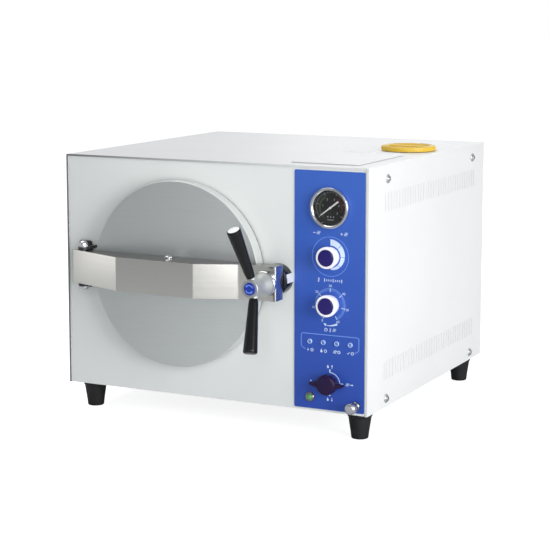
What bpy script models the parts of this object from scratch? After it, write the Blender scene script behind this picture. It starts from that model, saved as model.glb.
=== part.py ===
"""Bench-top autoclave: a steam steriliser with a round pressure door on a swinging clamp bar.

Every shape is measured in the body frame: X to the right, Y back from the face of the front panel,
and Z up from the underside of the base. An empty holds that frame above the floor by the height of
the feet. Sizes are metres.
"""

import math

import bmesh
import bpy
from mathutils import Matrix, Vector
from mathutils.geometry import tessellate_polygon

# ---------------------------------------------------------------- driving dimensions
WIDTH = 0.480
DEPTH = 0.460
HEIGHT = 0.340
FOOT_HEIGHT = 0.039
FRONT_Y = -0.1824  # where the front panel stands, so that the origin is under the middle
GAP = 0.0003  # between pieces that touch
SHEET = 0.0015
HALF = WIDTH / 2

# Door and pressure vessel
DOOR_X, DOOR_Z = -0.047, 0.179
DOOR_R = 0.1325
DOOR_FACE = -0.0225
DOOR_BACK = -0.0035
CHAMBER_R = 0.1235
VESSEL_WALL = 0.002
FLANGE_R = 0.131
JACKET_R = 0.144

# Clamp bar and its hinge
BAR_LOW, BAR_HIGH = 0.1565, 0.2045
BAR_SHEET = 0.0025
BAR_BACK = -0.0265
BAR_END_BACK = -0.020
HINGE_X, HINGE_Y = -0.1965, -0.026
PIVOT_Y = -0.040
BAR_FRONT = [(-0.219, -0.027), (-0.118, -0.065), (0.008, -0.070), (0.067, -0.0455),
             (0.084, -0.042), (0.122, -0.042)]

# Lock handle
LOCK_X, LOCK_Z = 0.105, 0.180
HANDLE_Y = -0.072
HANDLE_TILT = math.radians(8.5)
HANDLE_LEAN = math.radians(24)
HANDLE_LENGTH = 0.091
GRIP_START = 0.0168
HUB_BACK = -0.0475
SOCKET_X, SOCKET_Z = 0.1065, 0.1815
SOCKET_R = 0.0215
TONGUE_HALF = 0.013

# Controls, down the middle of the label
CONTROL_X = 0.1845
LABEL_LEFT, LABEL_RIGHT = 0.1304, 0.2356
LABEL_LOW, LABEL_HIGH = 0.0038, 0.3342
LABEL_FACE = -0.0011
GAUGE_Z = 0.2842
TEMPERATURE_Z = 0.2174
TIMER_Z = 0.1512
LAMP_Z = 0.0979
LAMP_PITCH = 0.0202
SELECTOR_Z = 0.0418
POWER_LAMP = (0.1543, 0.0198)
DRAIN = (0.2236, 0.0138)
GAUGE_HOLE = 0.0258
KNOB_HOLE = 0.0050
LAMP_HOLE = 0.0036
PILOT_HOLE = 0.0060

# Top of the case
LID_X = (0.110, 0.214)
LID_Y = (0.027, 0.190)
CAP_X, CAP_Y = 0.188, 0.270
CAP_R = 0.0405

# Side fixings and louvres
SCREW_Y = (0.0656, 0.4050)
SCREW_Z = (0.012, 0.320)
LOUVRE_BANDS = ((0.040, 0.065), (0.2755, 0.3005))
LOUVRE_Y = (0.058, 0.416)
LOUVRES = 36

# ---------------------------------------------------------------- scene and materials


def clear_scene():
    for old in list(bpy.data.objects):
        bpy.data.objects.remove(old, do_unlink=True)


clear_scene()
FRAME = bpy.data.objects.new("body_frame", None)
FRAME.location = (0, FRONT_Y, FOOT_HEIGHT)
bpy.context.collection.objects.link(FRAME)


def material(name, colour, roughness, metallic=0.0, alpha=1.0):
    made = bpy.data.materials.new(name)
    made.use_nodes = True
    shader = made.node_tree.nodes["Principled BSDF"]
    shader.inputs["Base Color"].default_value = (*colour, 1)
    shader.inputs["Roughness"].default_value = roughness
    shader.inputs["Metallic"].default_value = metallic
    shader.inputs["Alpha"].default_value = alpha
    return made


WHITE_PAINT = material("white_paint", (0.80, 0.82, 0.83), 0.45)
SATIN_STEEL = material("satin_steel", (0.55, 0.56, 0.56), 0.32, 1)
CHROME = material("chrome", (0.75, 0.76, 0.78), 0.08, 1)
ZINC = material("zinc_plate", (0.50, 0.52, 0.54), 0.40, 1)
BRASS = material("brass", (0.66, 0.48, 0.22), 0.30, 1)
BLACK_STEEL = material("black_steel", (0.03, 0.03, 0.035), 0.40)
BLACK_PLASTIC = material("black_plastic", (0.02, 0.02, 0.025), 0.30)
RUBBER = material("rubber", (0.02, 0.02, 0.02), 0.75)
SILICONE = material("silicone", (0.55, 0.25, 0.18), 0.55)
BLUE_LABEL = material("blue_label", (0.045, 0.11, 0.46), 0.35)
BLUE_CAP = material("blue_cap", (0.02, 0.04, 0.35), 0.25)
KNOB_WHITE = material("knob_white", (0.82, 0.82, 0.86), 0.30)
DIAL_BLACK = material("dial_black", (0.015, 0.017, 0.02), 0.50)
NEEDLE_WHITE = material("needle_white", (0.85, 0.85, 0.85), 0.40)
GLASS = material("glass", (0.95, 0.97, 1.0), 0.02, 0, 0.3)
GREEN_LENS = material("green_lens", (0.20, 0.45, 0.12), 0.15)
YELLOW_CAP = material("yellow_cap", (0.78, 0.56, 0.10), 0.40)
WOOL = material("mineral_wool", (0.62, 0.58, 0.45), 0.90)
TANK_PLASTIC = material("tank_plastic", (0.72, 0.74, 0.72), 0.40)
BOARD_GREEN = material("board_green", (0.04, 0.20, 0.09), 0.45)

# ---------------------------------------------------------------- shape helpers

AXES = {"x": Vector((1, 0, 0)), "y": Vector((0, 1, 0)), "z": Vector((0, 0, 1))}
SHARP = math.radians(35)


def box(low, high):
    """A box between two corners."""
    shape = bmesh.new()
    bmesh.ops.create_cube(shape, size=1)
    middle = [(a + b) / 2 for a, b in zip(low, high)]
    sides = [b - a for a, b in zip(low, high)]
    bmesh.ops.scale(shape, vec=sides, verts=shape.verts)
    bmesh.ops.translate(shape, vec=middle, verts=shape.verts)
    return shape


def circle(x, y, radius, steps):
    """Points of a round outline."""
    turn = 2 * math.pi / steps
    return [(x + radius * math.cos(i * turn), y + radius * math.sin(i * turn)) for i in range(steps)]


def arc(x, y, radius, start, end, steps):
    """Points along an arc, from one angle to another in degrees."""
    angles = [math.radians(start + (end - start) * i / steps) for i in range(steps + 1)]
    return [(x + radius * math.cos(a), y + radius * math.sin(a)) for a in angles]


def rounded(x0, x1, y0, y1, radius, steps=3):
    """Points of a rectangle with round corners, anticlockwise."""
    corners = ((x1, y0, -90), (x1, y1, 0), (x0, y1, 90), (x0, y0, 180))
    points = []
    for x, y, start in corners:
        inside_x = x - math.copysign(radius, x - (x0 + x1) / 2)
        inside_y = y - math.copysign(radius, y - (y0 + y1) / 2)
        points += arc(inside_x, inside_y, radius, start, start + 90, steps)
    return points


def prism(loops, plane, low, high):
    """An outline, with any holes after it, extruded across the named plane."""
    place = {
        "xz": lambda p, h: (p[0], h, p[1]),
        "xy": lambda p, h: (p[0], p[1], h),
        "yz": lambda p, h: (h, p[0], p[1]),
    }[plane]
    shape = bmesh.new()
    ends = []
    for height in (low, high):
        ends.append([[shape.verts.new(place(p, height)) for p in loop] for loop in loops])
    flat = [[Vector((p[0], p[1], 0)) for p in loop] for loop in loops]
    for rings in ends:
        points = [vertex for ring in rings for vertex in ring]
        for triangle in tessellate_polygon(flat):
            shape.faces.new([points[i] for i in triangle])
    for lower, upper in zip(*ends):
        for i in range(len(lower)):
            shape.faces.new((lower[i - 1], lower[i], upper[i], upper[i - 1]))
    bmesh.ops.recalc_face_normals(shape, faces=shape.faces)
    return shape


def turned(profile, centre, axis, steps):
    """A closed profile of (radius, distance along the axis) turned about an axis through centre."""
    along = AXES[axis] if isinstance(axis, str) else Vector(axis).normalized()
    spin = along.to_track_quat("Z", "Y").to_matrix().to_4x4()
    shape = bmesh.new()
    rings = []
    for radius, distance in profile:
        if radius == 0:
            rings.append([shape.verts.new((0, 0, distance))] * steps)
            continue
        rings.append([shape.verts.new((x, y, distance)) for x, y in circle(0, 0, radius, steps)])
    for ring, following in zip(rings, rings[1:] + rings[:1]):
        for i in range(steps):
            corners = (ring[i - 1], ring[i], following[i], following[i - 1])
            distinct = list(dict.fromkeys(corners))
            if len(distinct) > 2:
                shape.faces.new(distinct)
    bmesh.ops.recalc_face_normals(shape, faces=shape.faces)
    bmesh.ops.transform(shape, matrix=Matrix.Translation(centre) @ spin, verts=shape.verts)
    return shape


def rod(centre, axis, radius, low, high, steps=20):
    """A plain round bar along an axis."""
    return turned([(0, low), (radius, low), (radius, high), (0, high)], centre, axis, steps)


def several(shapes):
    """Separate shapes in one mesh, for a cutter."""
    joined = bmesh.new()
    for shape in shapes:
        mesh = bpy.data.meshes.new("part_of_cutter")
        shape.to_mesh(mesh)
        shape.free()
        joined.from_mesh(mesh)
        bpy.data.meshes.remove(mesh)
    return joined


def place(name, shape, look, origin=(0, 0, 0), sharp=SHARP):
    """Makes the named object, with its own origin at a point of the body frame."""
    bmesh.ops.translate(shape, vec=[-value for value in origin], verts=shape.verts)
    mesh = bpy.data.meshes.new(name)
    shape.to_mesh(mesh)
    shape.free()
    mesh.shade_smooth()
    mesh.set_sharp_from_angle(angle=sharp)
    if look:
        mesh.materials.append(look)
    made = bpy.data.objects.new(name, mesh)
    made.location = origin
    made.parent = FRAME
    bpy.context.collection.objects.link(made)
    return made


def combine(made, shape, operation):
    """Cuts a shape from an object, or joins it on, with the shape kept as a hidden helper."""
    helper = place(f"{made.name}_{operation.lower()}_{len(made.modifiers)}", shape, None)
    helper.hide_render = True
    helper.display_type = "WIRE"
    modifier = made.modifiers.new(operation.title(), "BOOLEAN")
    modifier.operation = operation
    modifier.object = helper
    return made


def cut(made, shape):
    return combine(made, shape, "DIFFERENCE")


def join(made, shape):
    return combine(made, shape, "UNION")


def tube(name, points, radius, look, sides=2):
    """A pipe along a smooth run of points, with closed ends."""
    curve = bpy.data.curves.new(name, "CURVE")
    curve.dimensions = "3D"
    curve.bevel_depth = radius
    curve.bevel_resolution = sides
    curve.use_fill_caps = True
    spline = curve.splines.new("POLY")
    spline.points.add(len(points) - 1)
    for point, place_at in zip(spline.points, points):
        point.co = (*place_at, 1)
    curve.materials.append(look)
    made = bpy.data.objects.new(name, curve)
    made.parent = FRAME
    bpy.context.collection.objects.link(made)
    return made


def smooth_route(corners, bend, steps=4):
    """A route through corners, each rounded by a bend that starts the given distance away."""
    points = [Vector(corners[0])]
    for before, corner, after in zip(corners, corners[1:], corners[2:]):
        corner = Vector(corner)
        start = corner + (Vector(before) - corner).normalized() * bend
        end = corner + (Vector(after) - corner).normalized() * bend
        for i in range(steps + 1):
            t = i / steps
            points.append(start * (1 - t) ** 2 + corner * 2 * t * (1 - t) + end * t ** 2)
    return points + [Vector(corners[-1])]


# ---------------------------------------------------------------- case


def control_holes():
    """The holes that the front panel and the label share."""
    holes = [circle(CONTROL_X, GAUGE_Z, GAUGE_HOLE, 36)]
    for height in (TEMPERATURE_Z, TIMER_Z, SELECTOR_Z):
        holes.append(circle(CONTROL_X, height, KNOB_HOLE, 12))
    holes += [circle(x, LAMP_Z, LAMP_HOLE, 12) for x in lamp_places()]
    holes += [circle(*POWER_LAMP, PILOT_HOLE, 14), circle(*DRAIN, PILOT_HOLE, 14)]
    return holes


def lamp_places():
    return [CONTROL_X + LAMP_PITCH * (i - 1.5) for i in range(4)]


def case_base():
    flange = 0.020
    inset = 0.0030
    low, high = (-HALF + inset, 0.002, 0), (HALF - inset, DEPTH - 0.002, flange)
    made = place("base_tray", box(low, high), ZINC)
    cut(made, box((low[0] + SHEET, low[1] + SHEET, SHEET), (high[0] - SHEET, high[1] - SHEET, 0.03)))
    cut(made, box((0.135, -0.01, 0.005), (high[0] - SHEET, low[1] + 0.01, 0.03)))
    vents = [box((x, 0.12 + 0.03 * i, -0.01), (x + 0.06, 0.126 + 0.03 * i, 0.01))
             for x in (-0.20, 0.12) for i in range(4)]
    cut(made, several(vents))


def case_front():
    edge = 0.2358
    outline = rounded(-edge, edge, 0.0006, 0.3358, 0.0015, 2)
    mouth = circle(DOOR_X, DOOR_Z, FLANGE_R + 0.0005, 72)
    place("front_panel", prism([outline, mouth] + control_holes(), "xz", 0, SHEET), WHITE_PAINT)
    sticker = rounded(LABEL_LEFT, LABEL_RIGHT, LABEL_LOW, LABEL_HIGH, 0.002, 2)
    place("control_label", prism([sticker] + control_holes(), "xz", LABEL_FACE, -GAP), BLUE_LABEL)


def cover_section(thickness):
    """The cover's section: two sides and a top, with small round outer corners."""
    bend = 0.002
    outer = [(HALF, 0)] + arc(HALF - bend, HEIGHT - bend, bend, 0, 90, 3)
    outer += arc(-HALF + bend, HEIGHT - bend, bend, 90, 180, 3) + [(-HALF, 0)]
    inner = HALF - thickness
    return outer + [(-inner, 0), (-inner, HEIGHT - thickness), (inner, HEIGHT - thickness), (inner, 0)]


def case_cover():
    hem, hem_depth = 0.0026, 0.007
    made = place("outer_cover", prism([cover_section(hem)], "xz", -0.001, DEPTH - 0.001), WHITE_PAINT)
    inner = HALF - SHEET
    cut(made, box((-inner, hem_depth, -0.01), (inner, DEPTH + 0.01, HEIGHT - SHEET)))
    slot = 0.003
    pitch = (LOUVRE_Y[1] - LOUVRE_Y[0] - slot) / (LOUVRES - 1)
    slots = [box((-0.25, LOUVRE_Y[0] + pitch * i, low), (0.25, LOUVRE_Y[0] + pitch * i + slot, high))
             for low, high in LOUVRE_BANDS for i in range(LOUVRES)]
    screws = [rod((0, y, z), "x", 0.0026, -0.25, 0.25, 8) for y in SCREW_Y for z in SCREW_Z]
    top = [box((0.118, 0.082, 0.33), (0.206, 0.184, 0.35)),
           rod((CAP_X, CAP_Y, 0), "z", 0.0330, 0.33, 0.35, 32)]
    cut(made, several(slots + screws + top))


def case_back():
    made_at = DEPTH - SHEET
    edge = 0.2380
    outline = rounded(-edge, edge, 0.0006, 0.3380, 0.0015, 2)
    holes = [circle(DOOR_X, STEAM_Z, 0.0065, 16), rounded(*INLET_CUT, 0.001, 1)]
    for row in range(8):
        low = 0.075 + 0.022 * row
        holes.append(rounded(0.060, 0.120, low, low + 0.006, 0.002, 2))
        holes.append(rounded(-0.215, -0.155, low, low + 0.006, 0.002, 2))
    place("rear_panel", prism([outline] + holes, "xz", made_at - 0.0004, DEPTH - 0.0004), WHITE_PAINT)


def feet():
    tall = FOOT_HEIGHT
    profile = [(0, -tall), (0.0120, -tall), (0.0134, -tall + 0.0015), (0.0164, -0.008),
               (0.0175, -0.0065), (0.0175, -GAP), (0, -GAP)]
    for row, y in (("front", 0.032), ("rear", 0.428)):
        for side, x in (("left", -0.216), ("right", 0.2155)):
            place(f"foot_{row}_{side}", turned(profile, (x, y, 0), "z", 24), RUBBER)


def cover_screws():
    """Pan heads on cup washers, four down each side."""
    profile = [(0, -0.0013), (0.0019, -0.0013), (0.0019, GAP), (0.0074, GAP), (0.0058, 0.0018),
               (0.0044, 0.0020), (0.0040, 0.0034), (0.0020, 0.0042), (0, 0.0042)]
    for side, facing in (("left", -1), ("right", 1)):
        for row, y in zip(("front", "rear"), SCREW_Y):
            for level, z in zip(("low", "high"), SCREW_Z):
                head = turned(profile, (facing * HALF, y, z), (facing, 0, 0), 16)
                place(f"screw_{side}_{row}_{level}", head, CHROME)


# ---------------------------------------------------------------- chamber

VESSEL_OUT = CHAMBER_R + VESSEL_WALL
DOME = 0.400
STEAM_Z = DOOR_Z + 0.060
INLET_CUT = (0.1420, 0.1720, 0.0330, 0.0810)


def pressure_vessel():
    """A straight shell with a dished back and a grooved ring round its mouth."""
    groove_in, groove_out, groove_deep = 0.1256, 0.1300, 0.0018
    shell = [(FLANGE_R, -0.001), (FLANGE_R, 0.008), (VESSEL_OUT, 0.008), (VESSEL_OUT, DOME),
             (0.108, 0.419), (0.060, 0.429), (0, 0.432), (0, 0.430), (0.060, 0.427), (0.107, 0.417),
             (CHAMBER_R, DOME - 0.001), (CHAMBER_R, -0.001), (groove_in, -0.001),
             (groove_in, groove_deep), (groove_out, groove_deep), (groove_out, -0.001)]
    centre = (DOOR_X, 0, DOOR_Z)
    place("chamber_vessel", turned(shell, centre, "y", 48), SATIN_STEEL)
    ring_in, ring_out = groove_in + 0.0004, groove_out - 0.0004
    seal = [(ring_in, DOOR_BACK + GAP), (ring_out, DOOR_BACK + GAP), (ring_out, groove_deep - GAP),
            (ring_in, groove_deep - GAP)]
    place("door_seal", turned(seal, centre, "y", 40), SILICONE)
    jacket_in = VESSEL_OUT + 0.0008
    jacket = [(jacket_in, 0.012), (JACKET_R, 0.012), (JACKET_R, 0.440), (0, 0.440), (0, 0.4335),
              (0.060, 0.4310), (0.1095, 0.4210), (jacket_in, DOME + 0.001)]
    made = place("insulation_jacket", turned(jacket, centre, "y", 28), WOOL)
    cut(made, rod((DOOR_X, 0, STEAM_Z), "y", 0.0060, 0.41, 0.45, 16))


def heater():
    """A tubular heater lying along the chamber floor, doubled back at the front."""
    spread, level = 0.045, 0.0715
    back, front = 0.402, 0.100
    bend = arc(DOOR_X, front, spread, 180, 360, 12)
    route = [(DOOR_X - spread, back, level)] + [(x, y, level) for x, y in bend]
    route.append((DOOR_X + spread, back, level))
    tube("heating_element", route, 0.004, SATIN_STEEL)


RACK_HALF = 0.100
RACK_SHELVES = (0.130, 0.186)
RACK_Y = (0.025, 0.390)
RACK_LOW, RACK_HIGH = 0.1135, 0.2440


def rack_and_trays():
    """A folded rack with two pairs of ledges, and a tray on each pair."""
    wall, ledge = 0.0012, 0.010
    right = [(RACK_HALF, RACK_LOW), (RACK_HALF, RACK_HIGH), (RACK_HALF - wall, RACK_HIGH)]
    for level in reversed(RACK_SHELVES):
        right += [(RACK_HALF - wall, level), (RACK_HALF - ledge, level),
                  (RACK_HALF - ledge, level - wall), (RACK_HALF - wall, level - wall)]
    right.append((RACK_HALF - wall, RACK_LOW + wall))
    left = [(-x, z) for x, z in reversed(right)]
    outline = [(DOOR_X + x, z) for x, z in right + left]
    place("tray_rack", prism([outline], "xz", *RACK_Y), SATIN_STEEL)
    half, deep, wall = 0.0980, 0.018, 0.0010
    for number, level in enumerate(RACK_SHELVES, 1):
        low = (DOOR_X - half, RACK_Y[0] + 0.006, level + GAP)
        high = (DOOR_X + half, RACK_Y[1] - 0.006, level + GAP + deep)
        made = place(f"instrument_tray_{number}", box(low, high), SATIN_STEEL)
        inside = (low[0] + wall, low[1] + wall, low[2] + wall)
        cut(made, box(inside, (high[0] - wall, high[1] - wall, high[2] + 0.01)))


def cradle():
    """Two saddles on a foot strip, under the jacket."""
    half, top, floor = 0.110, 0.090, SHEET + GAP
    rest = JACKET_R + 0.0006
    reach = math.degrees(math.acos(half / rest))
    saddle = [(DOOR_X - half, floor), (DOOR_X + half, floor)]
    saddle += arc(DOOR_X, DOOR_Z, rest, -reach, reach - 180, 16)
    strip = box((DOOR_X - 0.03, 0.060, floor), (DOOR_X + 0.03, 0.390, floor + 0.003))
    made = place("vessel_cradle", strip, ZINC)
    for y in (0.070, 0.374):
        join(made, prism([saddle], "xz", y, y + 0.006))


# ---------------------------------------------------------------- door


def door():
    centre = (DOOR_X, 0, DOOR_Z)
    hinge = (HINGE_X, HINGE_Y, DOOR_Z)
    wall, edge = 0.0015, 0.0022
    pan = [(0, DOOR_FACE), (DOOR_R - edge, DOOR_FACE)]
    pan += [(DOOR_R - edge * 0.29, DOOR_FACE + edge * 0.29), (DOOR_R, DOOR_FACE + edge)]
    pan += [(DOOR_R, DOOR_BACK), (DOOR_R - wall, DOOR_BACK), (DOOR_R - wall, DOOR_FACE + wall),
            (0, DOOR_FACE + wall)]
    place("door_cover", turned(pan, centre, "y", 72), SATIN_STEEL, hinge)
    plate_r, boss_r = DOOR_R - wall - GAP, 0.030
    plate = [(0, DOOR_BACK), (plate_r, DOOR_BACK), (plate_r, DOOR_BACK - 0.011),
             (boss_r, DOOR_BACK - 0.011), (boss_r, DOOR_FACE + wall + GAP), (0, DOOR_FACE + wall + GAP)]
    place("door_plate", turned(plate, centre, "y", 44), SATIN_STEEL, hinge)

    middle = (BAR_LOW + BAR_HIGH) / 2
    block = box((DOOR_X - 0.018, PIVOT_Y - 0.012, BAR_LOW + 0.008),
                (DOOR_X + 0.018, DOOR_FACE - GAP, BAR_HIGH - 0.008))
    made = place("door_pivot_block", block, ZINC, hinge)
    cut(made, rod((DOOR_X, PIVOT_Y, middle), "z", 0.0043, -0.04, 0.04))
    pin = [(0, -0.0290), (0.0040, -0.0290), (0.0040, 0.0243), (0.0056, 0.0243), (0.0052, 0.0262),
           (0.0034, 0.0278), (0, 0.0284)]
    place("door_pivot_pin", turned(pin, (DOOR_X, PIVOT_Y, middle), "z", 20), CHROME, hinge)


def clamp_bar():
    """A bent channel, open towards the door, with an ear round the hinge pin at its left end."""
    hinge = (HINGE_X, HINGE_Y, DOOR_Z)
    ear = 0.011
    back = [(0.122, BAR_END_BACK), (0.090, BAR_END_BACK), (0.0875, BAR_BACK), (-0.181, BAR_BACK)]
    back += arc(HINGE_X, HINGE_Y, ear, 20, 170, 10)
    made = place("clamp_bar", prism([BAR_FRONT + back], "xy", BAR_LOW, BAR_HIGH), SATIN_STEEL, hinge,
                 math.radians(3))
    open_back = 0.01
    left, right = BAR_FRONT[0], BAR_FRONT[-1]
    overrun = 0.004
    slope = (BAR_FRONT[1][1] - left[1]) / (BAR_FRONT[1][0] - left[0])
    inside = [(left[0] - overrun, left[1] + BAR_SHEET * 1.07 - slope * overrun)]
    inside += [(x, y + BAR_SHEET * 1.07) for x, y in BAR_FRONT[1:-1]]
    inside += [(right[0] - BAR_SHEET, right[1] + BAR_SHEET), (right[0] - BAR_SHEET, open_back),
               (left[0] - overrun, open_back)]
    cut(made, prism([inside], "xy", BAR_LOW + BAR_SHEET, BAR_HIGH - BAR_SHEET))
    pins = [rod((HINGE_X, HINGE_Y, 0), "z", 0.0049, 0.14, 0.22),
            rod((DOOR_X, PIVOT_Y, 0), "z", 0.0044, 0.14, 0.22),
            rod((LOCK_X, 0, LOCK_Z), "y", 0.0094, -0.06, -0.03, 24)]
    cut(made, several(pins))


def bar_hinge():
    """A plate on the front panel with an ear above and one below the bar, and the pin through them."""
    thick, ear_thick, ear_r = 0.0028, 0.004, 0.0078
    plate = box((-0.2180, -thick - GAP, 0.1460), (-0.1975, -GAP, 0.2145))
    made = place("hinge_bracket", plate, BLACK_STEEL)
    outline = [(HINGE_X + ear_r, -GAP * 3)] + arc(HINGE_X, HINGE_Y, ear_r, 0, -180, 10)
    outline.append((HINGE_X - ear_r, -GAP * 3))
    for low in (BAR_HIGH + 0.0004, BAR_LOW - 0.0004 - ear_thick):
        join(made, prism([outline], "xy", low, low + ear_thick))
    cut(made, rod((HINGE_X, HINGE_Y, 0), "z", 0.0048, 0.14, 0.22))
    top = BAR_HIGH + 0.0004 + ear_thick + GAP
    bottom = BAR_LOW - 0.0004 - ear_thick - GAP
    pin = [(0, bottom - 0.005), (0.0066, bottom - 0.005), (0.0075, bottom - 0.003), (0.0075, bottom),
           (0.0045, bottom), (0.0045, top), (0.0078, top), (0.0078, top + 0.0035),
           (0.0070, top + 0.0060), (0.0045, top + 0.0082), (0, top + 0.0090)]
    place("hinge_pin", turned(pin, (HINGE_X, HINGE_Y, 0), "z", 24), CHROME)


# ---------------------------------------------------------------- lock


def arm_direction(side):
    """The way an arm of the handle points: up for 1 and down for -1, both leaning forward."""
    flat = math.cos(HANDLE_LEAN)
    return Vector((-side * math.sin(HANDLE_TILT) * flat, -math.sin(HANDLE_LEAN),
                   side * math.cos(HANDLE_TILT) * flat))


def lock():
    axis_point = (LOCK_X, 0, LOCK_Z)
    spindle_r, neck_r = 0.0050, 0.0042
    hub = [(0.0125, -0.0855), (0.0125, -0.0780), (0.0105, -0.0715), (0.0118, -0.0620),
           (0.0148, -0.0530), (0.0168, -0.0490), (0.0168, HUB_BACK), (spindle_r + GAP, HUB_BACK),
           (spindle_r + GAP, -0.0640), (0, -0.0640), (0, -0.0855), (0.0088, -0.0855),
           (0.0088, -0.0870), (0.0116, -0.0870)]
    made = place("lock_hub", turned(hub, axis_point, "y", 32), CHROME, axis_point)
    middle = Vector((LOCK_X, HANDLE_Y, LOCK_Z))
    for name, side in (("upper", 1), ("lower", -1)):
        join(made, rod(middle, arm_direction(side), 0.0040, 0.004, 0.040, 16))
        grip = [(0.0045, GRIP_START), (0.0060, GRIP_START), (0.0066, GRIP_START + 0.002),
                (0.0098, HANDLE_LENGTH - 0.0010), (0.0090, HANDLE_LENGTH), (0, HANDLE_LENGTH),
                (0, 0.0405), (0.0045, 0.0405)]
        shape = turned(grip, middle, arm_direction(side), 24)
        place(f"{name}_grip", shape, BLACK_PLASTIC, axis_point)
    cap = [(0, -0.0858), (0.0085, -0.0858), (0.0085, -0.0872), (0.0072, -0.0878), (0, -0.0880)]
    place("hub_cap", turned(cap, axis_point, "y", 28), BLUE_CAP, axis_point)

    spindle = [(0, -0.0637), (spindle_r, -0.0637), (spindle_r, -0.0205), (neck_r, -0.0200),
               (neck_r, -0.0060), (0, -0.0060)]
    made = place("lock_spindle", turned(spindle, axis_point, "y", 20), SATIN_STEEL, axis_point)
    join(made, box((LOCK_X - 0.004, -0.0105, LOCK_Z - TONGUE_HALF),
                   (LOCK_X + 0.004, -0.0040, LOCK_Z + TONGUE_HALF)))

    bush = [(spindle_r + 0.0005, -0.0472), (0.0170, -0.0472), (0.0180, -0.0462), (0.0180, -0.0423),
            (0.0090, -0.0423), (0.0090, -0.0200), (spindle_r + 0.0005, -0.0200)]
    place("spindle_bush", turned(bush, axis_point, "y", 28), SATIN_STEEL, (HINGE_X, HINGE_Y, DOOR_Z))

    room_r, front, plate = 0.0170, -0.0185, -0.0120
    socket = [(0, front), (SOCKET_R - 0.0015, front), (SOCKET_R, front + 0.0015), (SOCKET_R, -GAP),
              (room_r, -GAP), (room_r, plate), (0, plate)]
    made = place("lock_socket", turned(socket, (SOCKET_X, 0, SOCKET_Z), "y", 40), CHROME)
    cut(made, box((LOCK_X - 0.0057, -0.03, LOCK_Z - 0.0146), (LOCK_X + 0.0057, -0.008, LOCK_Z + 0.0146)))
    cut(made, rod((DOOR_X, 0, DOOR_Z), "y", DOOR_R + 0.0024, -0.03, 0.01, 96))


# ---------------------------------------------------------------- controls


def gauge():
    centre = (CONTROL_X, 0, GAUGE_Z)
    inside, can, bezel = 0.0240, 0.0254, 0.0285
    case = [(bezel, -0.0065), (bezel, -0.0015), (can, -0.0015), (can, 0.0380), (0, 0.0380),
            (0, 0.0365), (inside, 0.0365), (inside, -0.0068), (can - 0.0003, -0.0080),
            (bezel - 0.0008, -0.0080)]
    place("gauge_case", turned(case, centre, "y", 36), CHROME)
    face = [(0, -0.0006), (inside - 0.0004, -0.0006), (inside - 0.0004, 0.0002), (0, 0.0002)]
    place("gauge_dial", turned(face, centre, "y", 36), DIAL_BLACK)
    window = [(0, -0.0062), (inside - 0.0004, -0.0062), (inside - 0.0004, -0.0050), (0, -0.0050)]
    place("gauge_glass", turned(window, centre, "y", 36), GLASS)
    rest = math.radians(217)
    tail, tip = -0.0150, 0.0178
    pointer = [(tail, -0.0010), (tail, 0.0010), (-0.0010, 0.0010), (tip, 0.0003), (tip, -0.0003),
               (-0.0010, -0.0010)]
    outline = [(CONTROL_X + x * math.cos(rest) - y * math.sin(rest),
                GAUGE_Z + x * math.sin(rest) + y * math.cos(rest)) for x, y in pointer]
    made = place("gauge_needle", prism([outline], "xz", -0.0030, -0.0022), NEEDLE_WHITE, centre)
    join(made, rod(centre, "y", 0.0024, -0.0036, -0.0012, 16))


def dial_knobs():
    """The temperature and timer knobs, and the bodies that their spindles come from."""
    knob = [(0, -0.0183), (0.0108, -0.0183), (0.0115, -0.0176), (0.0115, -0.0168), (0.0144, -0.0168),
            (0.0150, -0.0162), (0.0150, -0.0100), (0.0134, -0.0014), (0.0033, -0.0014),
            (0.0033, -0.0105), (0, -0.0105)]
    for name, body, height, deep in (("temperature_knob", "thermostat_body", TEMPERATURE_Z, 0.032),
                                     ("timer_knob", "timer_body", TIMER_Z, 0.045)):
        centre = (CONTROL_X, 0, height)
        place(name, turned(knob, centre, "y", 28), KNOB_WHITE, centre)
        case = box((CONTROL_X - 0.021, SHEET + GAP, height - 0.021),
                   (CONTROL_X + 0.021, deep, height + 0.021))
        made = place(body, case, BLACK_PLASTIC)
        join(made, rod(centre, "y", 0.0030, -0.0102, 0.010, 14))


def selector():
    centre = (CONTROL_X, 0, SELECTOR_Z)
    case = box((CONTROL_X - 0.020, SHEET + GAP, SELECTOR_Z - 0.016),
               (CONTROL_X + 0.020, 0.050, SELECTOR_Z + 0.018))
    made = place("selector_valve", case, BRASS)
    join(made, rod(centre, "y", 0.0030, -0.0070, 0.010, 14))
    disc = [(0, -0.0182), (0.0118, -0.0178), (0.0138, -0.0162), (0.0142, -0.0100), (0.0120, -0.0014),
            (0.0033, -0.0014), (0.0033, -0.0073), (0, -0.0073)]
    made = place("selector_knob", turned(disc, centre, "y", 28), BLACK_PLASTIC, centre)
    tip, shoulder = 0.0255, 0.0100
    upper = [(tip, 0.0014), (tip - 0.0016, 0.0026), (shoulder, 0.0062), (-shoulder, 0.0062),
             (0.0016 - tip, 0.0026), (-tip, 0.0014)]
    wing = upper + [(-x, -z) for x, z in upper]
    outline = [(CONTROL_X + x, SELECTOR_Z + z) for x, z in wing]
    join(made, prism([outline], "xz", -0.0160, -0.0090))


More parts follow.
